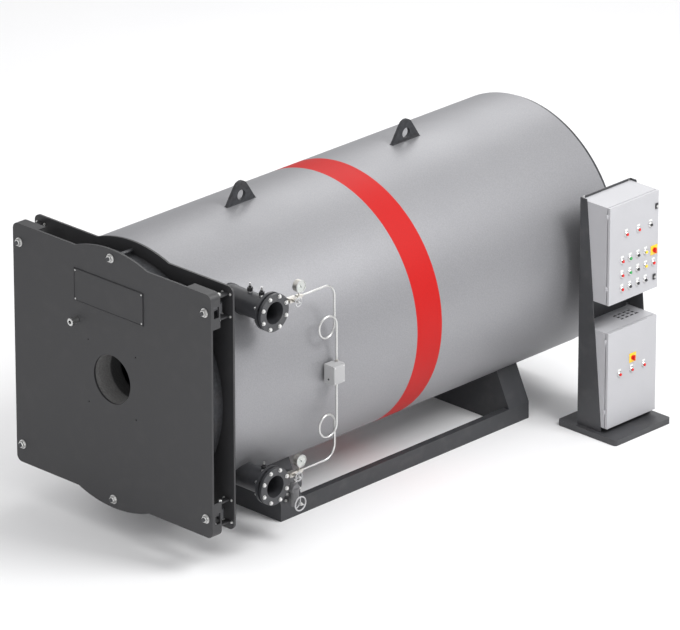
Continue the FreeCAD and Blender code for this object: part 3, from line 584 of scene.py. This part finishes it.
def finish_mesh(shape, name):
    bmesh.ops.recalc_face_normals(shape, faces=shape.faces)
    for face in shape.faces:
        face.smooth = True
    for edge in shape.edges:
        edge.smooth = edge.calc_face_angle(0.0) < sharp_angle
    mesh = bpy.data.meshes.new(name)
    shape.to_mesh(mesh)
    shape.free()
    return mesh


def turned(name, profile, places, axis, body, material, is_ring=False, sides=32):
    shape = bmesh.new()
    aim = Vector(axis).to_track_quat("Z", "Y").to_matrix().to_4x4()
    for place in places:
        spot = Matrix.Translation(Vector(place)) @ aim
        rings = []
        for radius, height in profile:
            count = sides if radius > 0 else 1
            angles = [2 * math.pi * index / sides for index in range(count)]
            rings.append([shape.verts.new(spot @ Vector((radius * math.cos(a), radius * math.sin(a), height)))
                          for a in angles])
        pairs = list(zip(rings, rings[1:]))
        if is_ring:
            pairs.append((rings[-1], rings[0]))
        for lower, upper in pairs:
            for index in range(sides):
                after = (index + 1) % sides
                corners_of = [lower[index % len(lower)], lower[after % len(lower)],
                              upper[after % len(upper)], upper[index % len(upper)]]
                shape.faces.new(list(dict.fromkeys(corners_of)))
    return piece(name, finish_mesh(shape, name), body, material)


front = (0, -1, 0)
right = (1, 0, 0)
print("turned shapes keep edges over", round(math.degrees(sharp_angle)), "degrees sharp")

# %% [markdown]
# ## Rounded blocks and beads
# A block gets its edges rounded by bmesh's bevel, so that it catches a line of light as a pressed
# or moulded thing does. A weld or a seal is a bead that follows a path: a curve with a round
# bevel, turned into a mesh once it is laid.


# %% Blocks and beads
def rounded_block(name, low, high, radius, body, material, segments=3):
    shape = bmesh.new()
    bmesh.ops.create_cube(shape, size=1.0)
    size = Vector(high) - Vector(low)
    middle = (Vector(high) + Vector(low)) / 2
    for vertex in shape.verts:
        vertex.co = middle + Vector([vertex.co[i] * size[i] for i in range(3)])
    bmesh.ops.bevel(shape, geom=list(shape.edges), offset=radius, segments=segments, profile=0.5,
                    affect="EDGES")
    return piece(name, finish_mesh(shape, name), body, material)


def beads(name, paths, radius, body, material, is_closed=True):
    curve = bpy.data.curves.new(name + "_path", "CURVE")
    curve.dimensions = "3D"
    curve.bevel_depth = radius
    curve.bevel_resolution = 3
    curve.use_fill_caps = not is_closed
    for path in paths:
        spline = curve.splines.new("POLY")
        spline.points.add(len(path) - 1)
        for point, spot in zip(spline.points, path):
            point.co = (*spot, 1.0)
        spline.use_cyclic_u = is_closed
    guide = bpy.data.objects.new(name + "_guide", curve)
    bpy.context.scene.collection.objects.link(guide)
    graph = bpy.context.evaluated_depsgraph_get()
    mesh = bpy.data.meshes.new_from_object(guide.evaluated_get(graph), depsgraph=graph)
    bpy.data.objects.remove(guide)
    for polygon in mesh.polygons:
        polygon.use_smooth = True
    return piece(name, mesh, body, material)


def branch_path(y, z, radius, steps=72):
    """The closed line where a pipe along X comes out of the round shell."""
    path = []
    for index in range(steps):
        angle = 2 * math.pi * index / steps
        rise = z + radius * math.sin(angle) - axis_height
        path.append((math.sqrt(shell_radius ** 2 - rise ** 2), y + radius * math.cos(angle),
                     axis_height + rise))
    return path


pipe_radius = 0.1095
drain_radius = 0.084
branches = [branch_path(nozzle_y, z, pipe_radius) for z in nozzle_heights]
branches.append(branch_path(drain_centre.y, drain_centre.z, drain_radius))
beads("branch_welds", branches, 0.007, "boiler", pipe_paint)
flange_welds = [ring(nozzle_back, nozzle_y, z, pipe_radius, 48) for z in nozzle_heights]
beads("flange_welds", flange_welds, 0.005, "boiler", pipe_paint)
eye_low, eye_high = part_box("lifting_eyes")
eye_base = 0.350
shell_top = axis_height + math.sqrt(shell_radius ** 2 - eye_high.x ** 2)
eye_starts = [eye_low.y, eye_high.y - eye_base]
eye_lines = [[(x, start, shell_top), (x, start + eye_base, shell_top)]
             for start in eye_starts for x in (eye_low.x, eye_high.x)]
beads("eye_welds", eye_lines, 0.006, "boiler", dark_steel, is_closed=False)
print("welds:", len(branches) + len(flange_welds) + len(eye_lines))

# %% [markdown]
# ## Door details
# The blank name plate gets a raised edge and four pan-head screws. The sight tube ends in a
# knurled ring that holds a thick glass. A braided rope lies between the round door body and the
# front plate and seals the gases in.

# %% Door details
plate_a, plate_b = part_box("name_plate")
screw_inset = 0.020
pan_head = [(0, 0.0045), (0.004, 0.0042), (0.0075, 0.0028), (0.009, 0.0), (0, 0.0)]
screw_places = [(x, plate_a.y, z) for x in (plate_a.x + screw_inset, plate_b.x - screw_inset)
                for z in (plate_a.z + screw_inset, plate_b.z - screw_inset)]
turned("name_plate_screws", pan_head, screw_places, front, "boiler_door", bright_zinc, sides=20)
rim_lift = 0.001
rim_y = plate_a.y - rim_lift
rim_inset = 0.006
rim_path = [(plate_a.x + rim_inset, rim_y, plate_a.z + rim_inset),
            (plate_b.x - rim_inset, rim_y, plate_a.z + rim_inset),
            (plate_b.x - rim_inset, rim_y, plate_b.z - rim_inset),
            (plate_a.x + rim_inset, rim_y, plate_b.z - rim_inset)]
beads("name_plate_rim", [rim_path], 0.004, "boiler_door", door_paint)
sight_a, sight_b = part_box("sight_tube")
sight = Vector(((sight_a.x + sight_b.x) / 2, sight_a.y, (sight_a.z + sight_b.z) / 2))
sight_ring = [(0.017, 0.0), (0.017, -0.004), (0.034, -0.004), (0.034, -0.026), (0.0305, -0.028),
              (0.0305, -0.001), (0.024, 0.0)]
turned("sight_ring", sight_ring, [sight + Vector((0, -0.001, 0))], front, "boiler_door", bright_zinc,
       is_ring=True)
sight_pane = [(0, -0.002), (0.0155, -0.002), (0.0155, -0.010), (0, -0.010)]
turned("sight_pane", sight_pane, [sight], front, "boiler_door", glass)
drum_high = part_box("door_drum")[1]
rope_radius = 0.0035
rope_inset = 0.035
rope_steps = 160
rope_circle = drum_high.x - rope_inset
rope_y = drum_high.y + rope_radius
rope_path = [(rope_circle * math.cos(a), rope_y, axis_height + rope_circle * math.sin(a))
             for a in (2 * math.pi * index / rope_steps for index in range(rope_steps))]
beads("door_rope", [rope_path], rope_radius, "boiler_door", refractory)
print("name plate in metres:", round(plate_b.x - plate_a.x, 3), "x", round(plate_b.z - plate_a.z, 3))

# %% [markdown]
# ## Probe sockets
# A thermometer or a probe screws into a dark hexagon that stands on the pipe. The bright stem is a
# CAD part, and the hexagon is one more fastener, wide and low, set around its foot.

# %% Probe sockets
probe_low, probe_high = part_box("probe_pockets")
probe_radius = 0.019
socket_foot = 0.010
supply_probe_shift = 0.020
supply_top = nozzle_heights[1] + pipe_radius
return_top = nozzle_heights[0] + pipe_radius
probe_xs = [probe_low.x + probe_radius, probe_high.x - probe_radius]
supply_probes = [(probe_xs[0], nozzle_y, supply_top + socket_foot),
                 (probe_xs[1] - supply_probe_shift, nozzle_y, supply_top + socket_foot)]
return_probes = [(probe_xs[1], nozzle_y, return_top + socket_foot)]
grow("probe_sockets", fasteners, supply_probes + return_probes, "boiler", black_plastic, upward,
     washer_radius=0.024, washer_thickness=0.006, head_radius=0.026, head_height=0.030,
     thread_radius=0.012, thread_length=0.012)
print("probes:", len(supply_probes) + len(return_probes))

# %% [markdown]
# ## Dial gauges
# A pressure gauge is a can with a rolled bezel, a white card, a ring of marks, a needle and a
# pane. The marks are a second Geometry Nodes tree: bars set out by their index over three
# quarters of a turn, with every fifth one longer.


# %% Gauges
long_mark_every = 5
long_mark_extra = 0.8
mark_height = 0.0006


def marks_recipe():
    recipe = Recipe("dial_marks", {"Count": 31.0, "Circle": 0.038, "Sweep": 4.71, "Length": 0.004,
                                   "Width": 0.0008})
    index = recipe.node("GeometryNodeInputIndex")
    share = index / (recipe.given("Count") - 1)
    angle = (share - 0.5) * recipe.given("Sweep")
    group = index / long_mark_every
    whole_group = recipe.node("ShaderNodeMath", {"operation": "ROUND"}, {0: group})
    is_long = recipe.node("ShaderNodeMath", {"operation": "COMPARE"},
                          {0: group - whole_group, 1: 0.0, 2: 0.01})
    length = recipe.given("Length") * (1 + is_long * long_mark_extra)
    size = recipe.node("ShaderNodeCombineXYZ", {},
                       {"X": recipe.given("Width"), "Y": 1.0, "Z": mark_height})
    line = recipe.node("GeometryNodeMeshLine", {"mode": "OFFSET"},
                       {"Count": recipe.given("Count"), "Offset": (0, 0, 0)})
    bar = recipe.node("GeometryNodeMeshCube", {}, {"Size": size})
    turn = recipe.node("ShaderNodeCombineXYZ", {}, {"Z": angle})
    stretch = recipe.node("ShaderNodeCombineXYZ", {}, {"X": 1.0, "Y": length, "Z": 1.0})
    set_out = recipe.node("GeometryNodeInstanceOnPoints", {},
                          {"Points": line, "Instance": bar, "Rotation": turn, "Scale": stretch})
    slide = recipe.node("ShaderNodeCombineXYZ", {}, {"Y": recipe.given("Circle")})
    moved = recipe.node("GeometryNodeTranslateInstances", {},
                        {"Instances": set_out, "Translation": slide, "Local Space": True})
    recipe.close(moved)
    return recipe


marks = marks_recipe()
case_low, case_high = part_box("gauges")
case_radius = 0.055
gauge_y = (case_low.y + case_high.y) / 2
gauge_offset = case_high.z - case_radius - pivot["upper_wheel_turn"].z
dial_face = case_high.x
bezel = [(0.0535, 0.0), (0.0560, 0.0), (0.0575, 0.004), (0.0560, 0.009), (0.0510, 0.010), (0.0500, 0.008),
         (0.0500, 0.0)]
card_profile = [(0, 0.0015), (0.0500, 0.0015), (0.0500, 0.0), (0, 0.0)]
pane_profile = [(0, 0.0080), (0.0350, 0.0074), (0.0500, 0.0065), (0.0500, 0.0050), (0, 0.0050)]
hub_profile = [(0, 0.0045), (0.0035, 0.0045), (0.0045, 0.0035), (0.0045, 0.0015), (0, 0.0015)]
needle_aim = {"lower": math.radians(-40), "upper": math.radians(-25)}
needle_reach = 0.036
needle_half_width = 0.0018
tail_reach = 0.012
tail_half_width = 0.0014
needle_back = Vector((0.0025, 0, 0))
needle_front = Vector((0.0033, 0, 0))
marks_lift = Vector((0.0018, 0, 0))
for level, needle_turn in needle_aim.items():
    centre = Vector((dial_face, gauge_y, pivot[level + "_wheel_turn"].z + gauge_offset))
    turned(level + "_gauge_bezel", bezel, [centre], right, "boiler", bright_zinc, is_ring=True, sides=48)
    turned(level + "_gauge_card", card_profile, [centre], right, "boiler", card, sides=48)
    turned(level + "_gauge_hub", hub_profile, [centre], right, "boiler", black_plastic, sides=20)
    turned(level + "_gauge_pane", pane_profile, [centre], right, "boiler", glass, sides=48)
    ticks = grow(level + "_gauge_marks", marks, [(0, 0, 0)], "boiler", black_plastic, upward)
    stand_up = Matrix(((0, 0, 1, 0), (1, 0, 0, 0), (0, 1, 0, 0), (0, 0, 0, 1)))
    ticks.data.transform(Matrix.Translation(centre + marks_lift) @ stand_up)
    tip = Vector((0, math.sin(needle_turn), math.cos(needle_turn)))
    side = Vector((0, math.cos(needle_turn), -math.sin(needle_turn)))
    tail = tip * -tail_reach
    outline = [tip * needle_reach, side * needle_half_width, tail + side * tail_half_width,
               tail - side * tail_half_width, side * -needle_half_width]
    shape = bmesh.new()
    lower = [shape.verts.new(centre + needle_back + spot) for spot in outline]
    upper = [shape.verts.new(centre + needle_front + spot) for spot in outline]
    shape.faces.new(lower)
    shape.faces.new(upper)
    for index in range(len(outline)):
        after = (index + 1) % len(outline)
        shape.faces.new([lower[index], lower[after], upper[after], upper[index]])
    piece(level + "_gauge_needle", finish_mesh(shape, "needle"), "boiler", black_plastic)
print("gauges at z:", [round(pivot[level + "_wheel_turn"].z + gauge_offset, 3) for level in needle_aim])

# %% [markdown]
# ## Pressure line fittings
# Hexagon nuts join the tube to its valves and to the switch box, and each handwheel is held by a
# small nut on its stem. They are fasteners too, so the same tree makes them. The pale switch box
# gets a lid that stands a little proud, with four screws, and a plug where its cable would enter.

# %% Line fittings
tube_low, tube_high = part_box("pressure_tubes")
tube_radius = 0.0095
line_start_y = tube_low.y
tube_x = tube_low.x + tube_radius
box_tube_x = tube_high.x - tube_radius
leg_y = tube_high.y - tube_radius
switch_low, switch_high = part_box("pressure_switch")
fitting = {"washer_radius": 0.010, "washer_thickness": 0.002, "head_radius": 0.0135, "head_height": 0.020,
           "thread_radius": 0.0095, "thread_length": 0.008}
to_back = (-math.pi / 2, 0.0, 0.0)
line_ends = [(tube_x, line_start_y, pivot[level + "_wheel_turn"].z) for level in ("lower", "upper")]
grow("line_nuts", fasteners, line_ends, "boiler", valve_metal, to_back, **fitting)
grow("switch_nut_above", fasteners, [(box_tube_x, leg_y, switch_high.z)], "boiler", valve_metal, upward,
     **fitting)
grow("switch_nut_below", fasteners, [(box_tube_x, leg_y, switch_low.z)], "boiler", valve_metal, downward,
     **fitting)
lid_margin = 0.004
lid_depth = 0.012
lid_overlap = 0.003
lid_back = switch_high.x - lid_overlap
rounded_block("switch_lid", (lid_back, switch_low.y + lid_margin, switch_low.z + lid_margin),
              (switch_high.x + lid_depth, switch_high.y - lid_margin, switch_high.z - lid_margin),
              0.005, "boiler", switch_white)
lid_screw = [(0, 0.0018), (0.0045, 0.0015), (0.0055, 0.0), (0, 0.0)]
lid_inset = 0.018
lid_screws = [(switch_high.x + lid_depth, y, z) for y in (switch_low.y + lid_inset, switch_high.y - lid_inset)
              for z in (switch_low.z + lid_inset, switch_high.z - lid_inset)]
turned("switch_lid_screws", lid_screw, lid_screws, right, "boiler", bright_zinc, sides=16)
cable_plug = [(0, 0.004), (0.0075, 0.004), (0.0095, 0.0), (0, 0.0)]
plug_depth = 0.070
plug_rise = 0.045
plug_place = (switch_low.x + plug_depth, switch_low.y, switch_low.z + plug_rise)
turned("switch_cable_plug", cable_plug, [plug_place], front, "boiler", black_plastic, sides=24)
wheel_hubs = [("drain_wheel", "drain_handwheel", 0.013), ("lower_wheel", "lower_gauge_wheel", 0.008),
              ("upper_wheel", "upper_gauge_wheel", 0.008)]
for wheel, part, hub in wheel_hubs:
    low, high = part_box(part)
    middle = (high.x, (low.y + high.y) / 2, (low.z + high.z) / 2)
    grow(part + "_nut", fasteners, [middle], wheel, bright_zinc, to_right, washer_radius=hub,
         washer_thickness=0.0015, head_radius=hub * 0.85, head_height=hub * 0.8,
         thread_radius=hub * 0.45, thread_length=0.003)
print("line fittings at y", round(line_start_y, 3), "and", round(leg_y, 3))

# %% [markdown]
# ## Lamps, buttons and switches
# Each control is a chrome bezel with a coloured cap. The bezel and the cap are turned, and one
# loop sets out all of a colour as one piece. The panel's layout can be read as a few words: each
# letter is a colour, each word is a row, and the rows of the upper panel go from the foot up.

# %% Panel controls
colour_of = {"r": red_plastic, "g": green_plastic, "y": yellow_plastic, "w": pale_plastic, "k": black_plastic}
names_of = {"r": "red", "g": "green", "y": "yellow", "w": "pale", "k": "black"}
panel_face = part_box("upper_controls")[0].x
upper_door_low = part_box("upper_cabinet_door")[0].z
lower_door_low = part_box("lower_cabinet_door")[0].z
cabinet_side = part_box("stand_back")[0].y
lamp_step = 0.103
row_step = 0.134
wide_step = 0.160
first_column = cabinet_side + 0.167
first_row = upper_door_low + 0.115
top_column = cabinet_side + 0.217
top_row = upper_door_low + 0.626
lower_column = cabinet_side + 0.155
lower_row = lower_door_low + 0.487
lamps = []
for row, colours in enumerate(("rkkk", "rgkyr", "rgky")):
    for column, colour in enumerate(colours):
        lamps.append(("upper_door", colour, first_column + column * lamp_step, first_row + row * row_step))
for column, colour in enumerate("rrk"):
    lamps.append(("upper_door", colour, top_column + column * wide_step, top_row))
for column, colour in enumerate("rrr"):
    lamps.append(("lower_door", colour, lower_column + column * wide_step, lower_row))
bezel_profile = [(0.0152, 0.0), (0.0270, 0.0), (0.0270, 0.004), (0.0245, 0.008), (0.0200, 0.013),
                 (0.0152, 0.013)]
cap_profile = [(0, 0.0250), (0.0070, 0.0242), (0.0120, 0.0220), (0.0148, 0.0180), (0.0151, 0.0085),
               (0, 0.0085)]
for door in ("upper_door", "lower_door"):
    places = [(panel_face, y, z) for body, colour, y, z in lamps if body == door]
    turned(door + "_lamp_bezels", bezel_profile, places, right, door, bright_zinc, is_ring=True, sides=28)
    for letter, material in colour_of.items():
        spots = [(panel_face, y, z) for body, colour, y, z in lamps if body == door and colour == letter]
        if spots:
            turned(door + "_caps_" + names_of[letter], cap_profile, spots, right, door, material, sides=28)
print("controls:", len(lamps))

# %% [markdown]
# ## Isolators, locks and labels
# Each isolator turns on a yellow plate. The locks of the upper door are small black blocks with a
# bright round keyhole. Over each lamp sits a small blank tag: without words it is just a pale
# strip, and the tags give the panel its rhythm.

# %% Isolators and locks
yellow_half = 0.044
plate_lift = 0.0042
for door, joint in (("upper_door", "upper_isolator_turn"), ("lower_door", "lower_isolator_turn")):
    y, z = pivot[joint].y, pivot[joint].z
    rounded_block(door + "_yellow_plate", (panel_face, y - yellow_half, z - yellow_half),
                  (panel_face + plate_lift, y + yellow_half, z + yellow_half), 0.0018, door, yellow_plastic,
                  segments=2)
lock_half_width = 0.017
lock_half_height = 0.026
lock_reach = 0.011
door_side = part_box("upper_cabinet_door")[1].y
locks = [("lock_top", door_side - 0.030, upper_door_low + 0.784),
         ("lock_foot", door_side - 0.048, upper_door_low + 0.112)]
key_profile = [(0, 0.006), (0.0060, 0.006), (0.0070, 0.009), (0.0105, 0.009), (0.0120, 0.006),
               (0.0120, 0.0), (0, 0.0)]
for label, y, z in locks:
    rounded_block("upper_door_" + label, (panel_face, y - lock_half_width, z - lock_half_height),
                  (panel_face + lock_reach, y + lock_half_width, z + lock_half_height), 0.004, "upper_door",
                  black_plastic)
keyholes = [(panel_face + lock_reach, y, z) for label, y, z in locks]
turned("upper_door_keyholes", key_profile, keyholes, right, "upper_door", bright_zinc, sides=24)
tag_half_width = 0.019
tag_rise = 0.039
tag_height = 0.020
tag_thickness = 0.0012
for door in ("upper_door", "lower_door"):
    shape = bmesh.new()
    for body, colour, y, z in lamps:
        if body != door:
            continue
        made = bmesh.ops.create_cube(shape, size=1.0)["verts"]
        middle = Vector((panel_face + tag_thickness / 2, y, z + tag_rise))
        for vertex in made:
            vertex.co = middle + Vector((vertex.co.x * tag_thickness, vertex.co.y * 2 * tag_half_width,
                                         vertex.co.z * tag_height))
    bmesh.ops.bevel(shape, geom=list(shape.edges), offset=0.0004, segments=1, affect="EDGES")
    piece(door + "_blank_tags", finish_mesh(shape, "tags"), door, pale_plastic)
print("isolators at", [round(pivot[name].z, 3) for name in ("upper_isolator_turn", "lower_isolator_turn")])

# %% [markdown]
# ## Door seals and wall lugs
# A black seal bead lies in the gap between each cabinet and its door: a door seal, whose black also
# paints the shade in that gap. It is a bead around the cabinet's mouth. Small bright lugs on the back
# corners are what the cabinets hang from. Under the slots in the roof of the lower cabinet lies a black
# block, which is painted shade for the dark inside of the slots.

# %% Cabinet seals and lugs
door_thickness = 0.025
door_gap = 0.008
seal_lift = 0.003
seal_inset = 0.012
seal_radius = 0.0045
lug_inset = 0.020
lug_centre_depth = 0.0035
lug_centre_rise = 0.012
lug_thickness = 0.005
lug_side = 0.030
seal_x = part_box("upper_cabinet_door")[1].x - door_thickness - door_gap + seal_lift
for cabinet in ("upper_cabinet", "lower_cabinet"):
    low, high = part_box(cabinet)
    y_low, y_high = cabinet_side + seal_inset, high.y - seal_inset
    z_low, z_high = low.z + seal_inset, high.z - seal_inset
    seal_and_gap_shade = [(seal_x, y_low, z_low), (seal_x, y_high, z_low),
            (seal_x, y_high, z_high), (seal_x, y_low, z_high)]
    # The black bead is a door seal, and its black also paints the shade in the gap between cabinet and door.
    beads(cabinet + "_seal", [seal_and_gap_shade], seal_radius, "boiler", seal_rubber)
    shape = bmesh.new()
    for y in (cabinet_side + lug_inset, high.y - lug_inset):
        made = bmesh.ops.create_cube(shape, size=1.0)["verts"]
        middle = Vector((low.x + lug_centre_depth, y, high.z + lug_centre_rise))
        for vertex in made:
            vertex.co = middle + Vector((vertex.co.x * lug_thickness, vertex.co.y * lug_side,
                                         vertex.co.z * lug_side))
    bmesh.ops.bevel(shape, geom=list(shape.edges), offset=0.0012, segments=2, affect="EDGES")
    piece(cabinet + "_lugs", finish_mesh(shape, "lugs"), "boiler", bright_zinc)
low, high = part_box("lower_cabinet")
# A black block under the roof slots is painted shade: it makes the slots look dark inside.
slot_shade_drop = 0.0063
slot_shade_size = Vector((0.170, 0.260, 0.006))
slot_shade_back = low.x + 0.050
slot_shade_side = high.y - 0.062
slot_shade_top = Vector((slot_shade_back + slot_shade_size.x, slot_shade_side, high.z - slot_shade_drop))
rounded_block("vent_slot_shade", slot_shade_top - slot_shade_size, slot_shade_top, 0.002, "boiler", seal_rubber)
print("the seals stand at x", round(seal_x, 3))

# %% [markdown]
# ## Floor, light and camera
# The floor is a plain pale plane. Light comes from a sky that is grey at the horizon and white
# overhead, and from three large soft lamps.
# The camera stands far off with a long lens, so the long shell hardly shrinks towards its rear.

# %% Stage
floor_finish = Finish("floor_finish", roughness=0.9)
mottle = floor_finish.noise(0.6, detail=2.0)
floor_finish.give("Base Color", floor_finish.blend(mottle, rgb(0.86, 0.86, 0.87), rgb(0.90, 0.90, 0.90)))
floor_mesh = bpy.data.meshes.new("floor")
reach = 60.0
floor_mesh.from_pydata([(-reach, -reach, 0), (reach, -reach, 0), (reach, reach, 0), (-reach, reach, 0)], [],
                       [(0, 1, 2, 3)])
floor_mesh.materials.append(floor_finish.material)
floor = bpy.data.objects.new("floor", floor_mesh)
bpy.context.scene.collection.objects.link(floor)

horizon_grey = rgb(0.34, 0.34, 0.36)
overhead_white = rgb(1.0, 1.0, 1.0)
white_from = 0.8
world = bpy.data.worlds.new("studio")
world.use_nodes = True
sky = Wiring(world.node_tree)
height = sky.node("ShaderNodeSeparateXYZ", {}, {0: sky.node("ShaderNodeTexCoord", output="Generated")},
                  output="Z")
rise = sky.node("ShaderNodeMapRange", {"clamp": True},
                {"Value": height, "From Min": 0.0, "From Max": white_from})
tone = sky.node("ShaderNodeMix", {"data_type": "RGBA"}, {0: rise, 6: horizon_grey, 7: overhead_white},
                output=2)
sky.tree.links.new(tone.socket, sky.tree.nodes["Background"].inputs["Color"])
sky.tree.nodes["Background"].inputs["Strength"].default_value = 1.0
bpy.context.scene.world = world


def soft_lamp(name, place, aim, size, power):
    lamp = bpy.data.lights.new(name, "AREA")
    lamp.shape = "RECTANGLE"
    lamp.size = size
    lamp.size_y = size
    lamp.energy = power
    holder = bpy.data.objects.new(name, lamp)
    holder.location = place
    holder.rotation_euler = (Vector(aim) - Vector(place)).to_track_quat("-Z", "Y").to_euler()
    bpy.context.scene.collection.objects.link(holder)


middle = Vector((0.2, 1.0, 1.3))
soft_lamp("key_lamp", (8.0, 3.5, 10.0), middle, 5.0, 1050)
soft_lamp("fill_lamp", (6.0, -12.0, 4.0), middle, 6.0, 350)
soft_lamp("rear_lamp", (-5.0, 9.0, 9.0), middle, 6.0, 300)
bpy.context.scene.view_settings.view_transform = "Standard"

# %% Camera
camera_back = Vector((0.6432, -0.6611, 0.3863)).normalized()
camera_right = Vector((0.7168, 0.6973, 0.0)).normalized()
camera_up = camera_back.cross(camera_right)
camera_place = Vector((40.064, -39.705, 25.281))
camera_data = bpy.data.cameras.new("camera")
camera_data.sensor_width = 36.0
camera_data.lens = 373.3
camera_data.clip_end = 300.0
camera = bpy.data.objects.new("camera", camera_data)
turn = Matrix((camera_right, camera_up, camera_back)).transposed().to_4x4()
camera.matrix_world = Matrix.Translation(camera_place) @ turn
bpy.context.scene.collection.objects.link(camera)
bpy.context.scene.camera = camera
print("camera distance in metres:", round((camera_place - middle).length, 2))
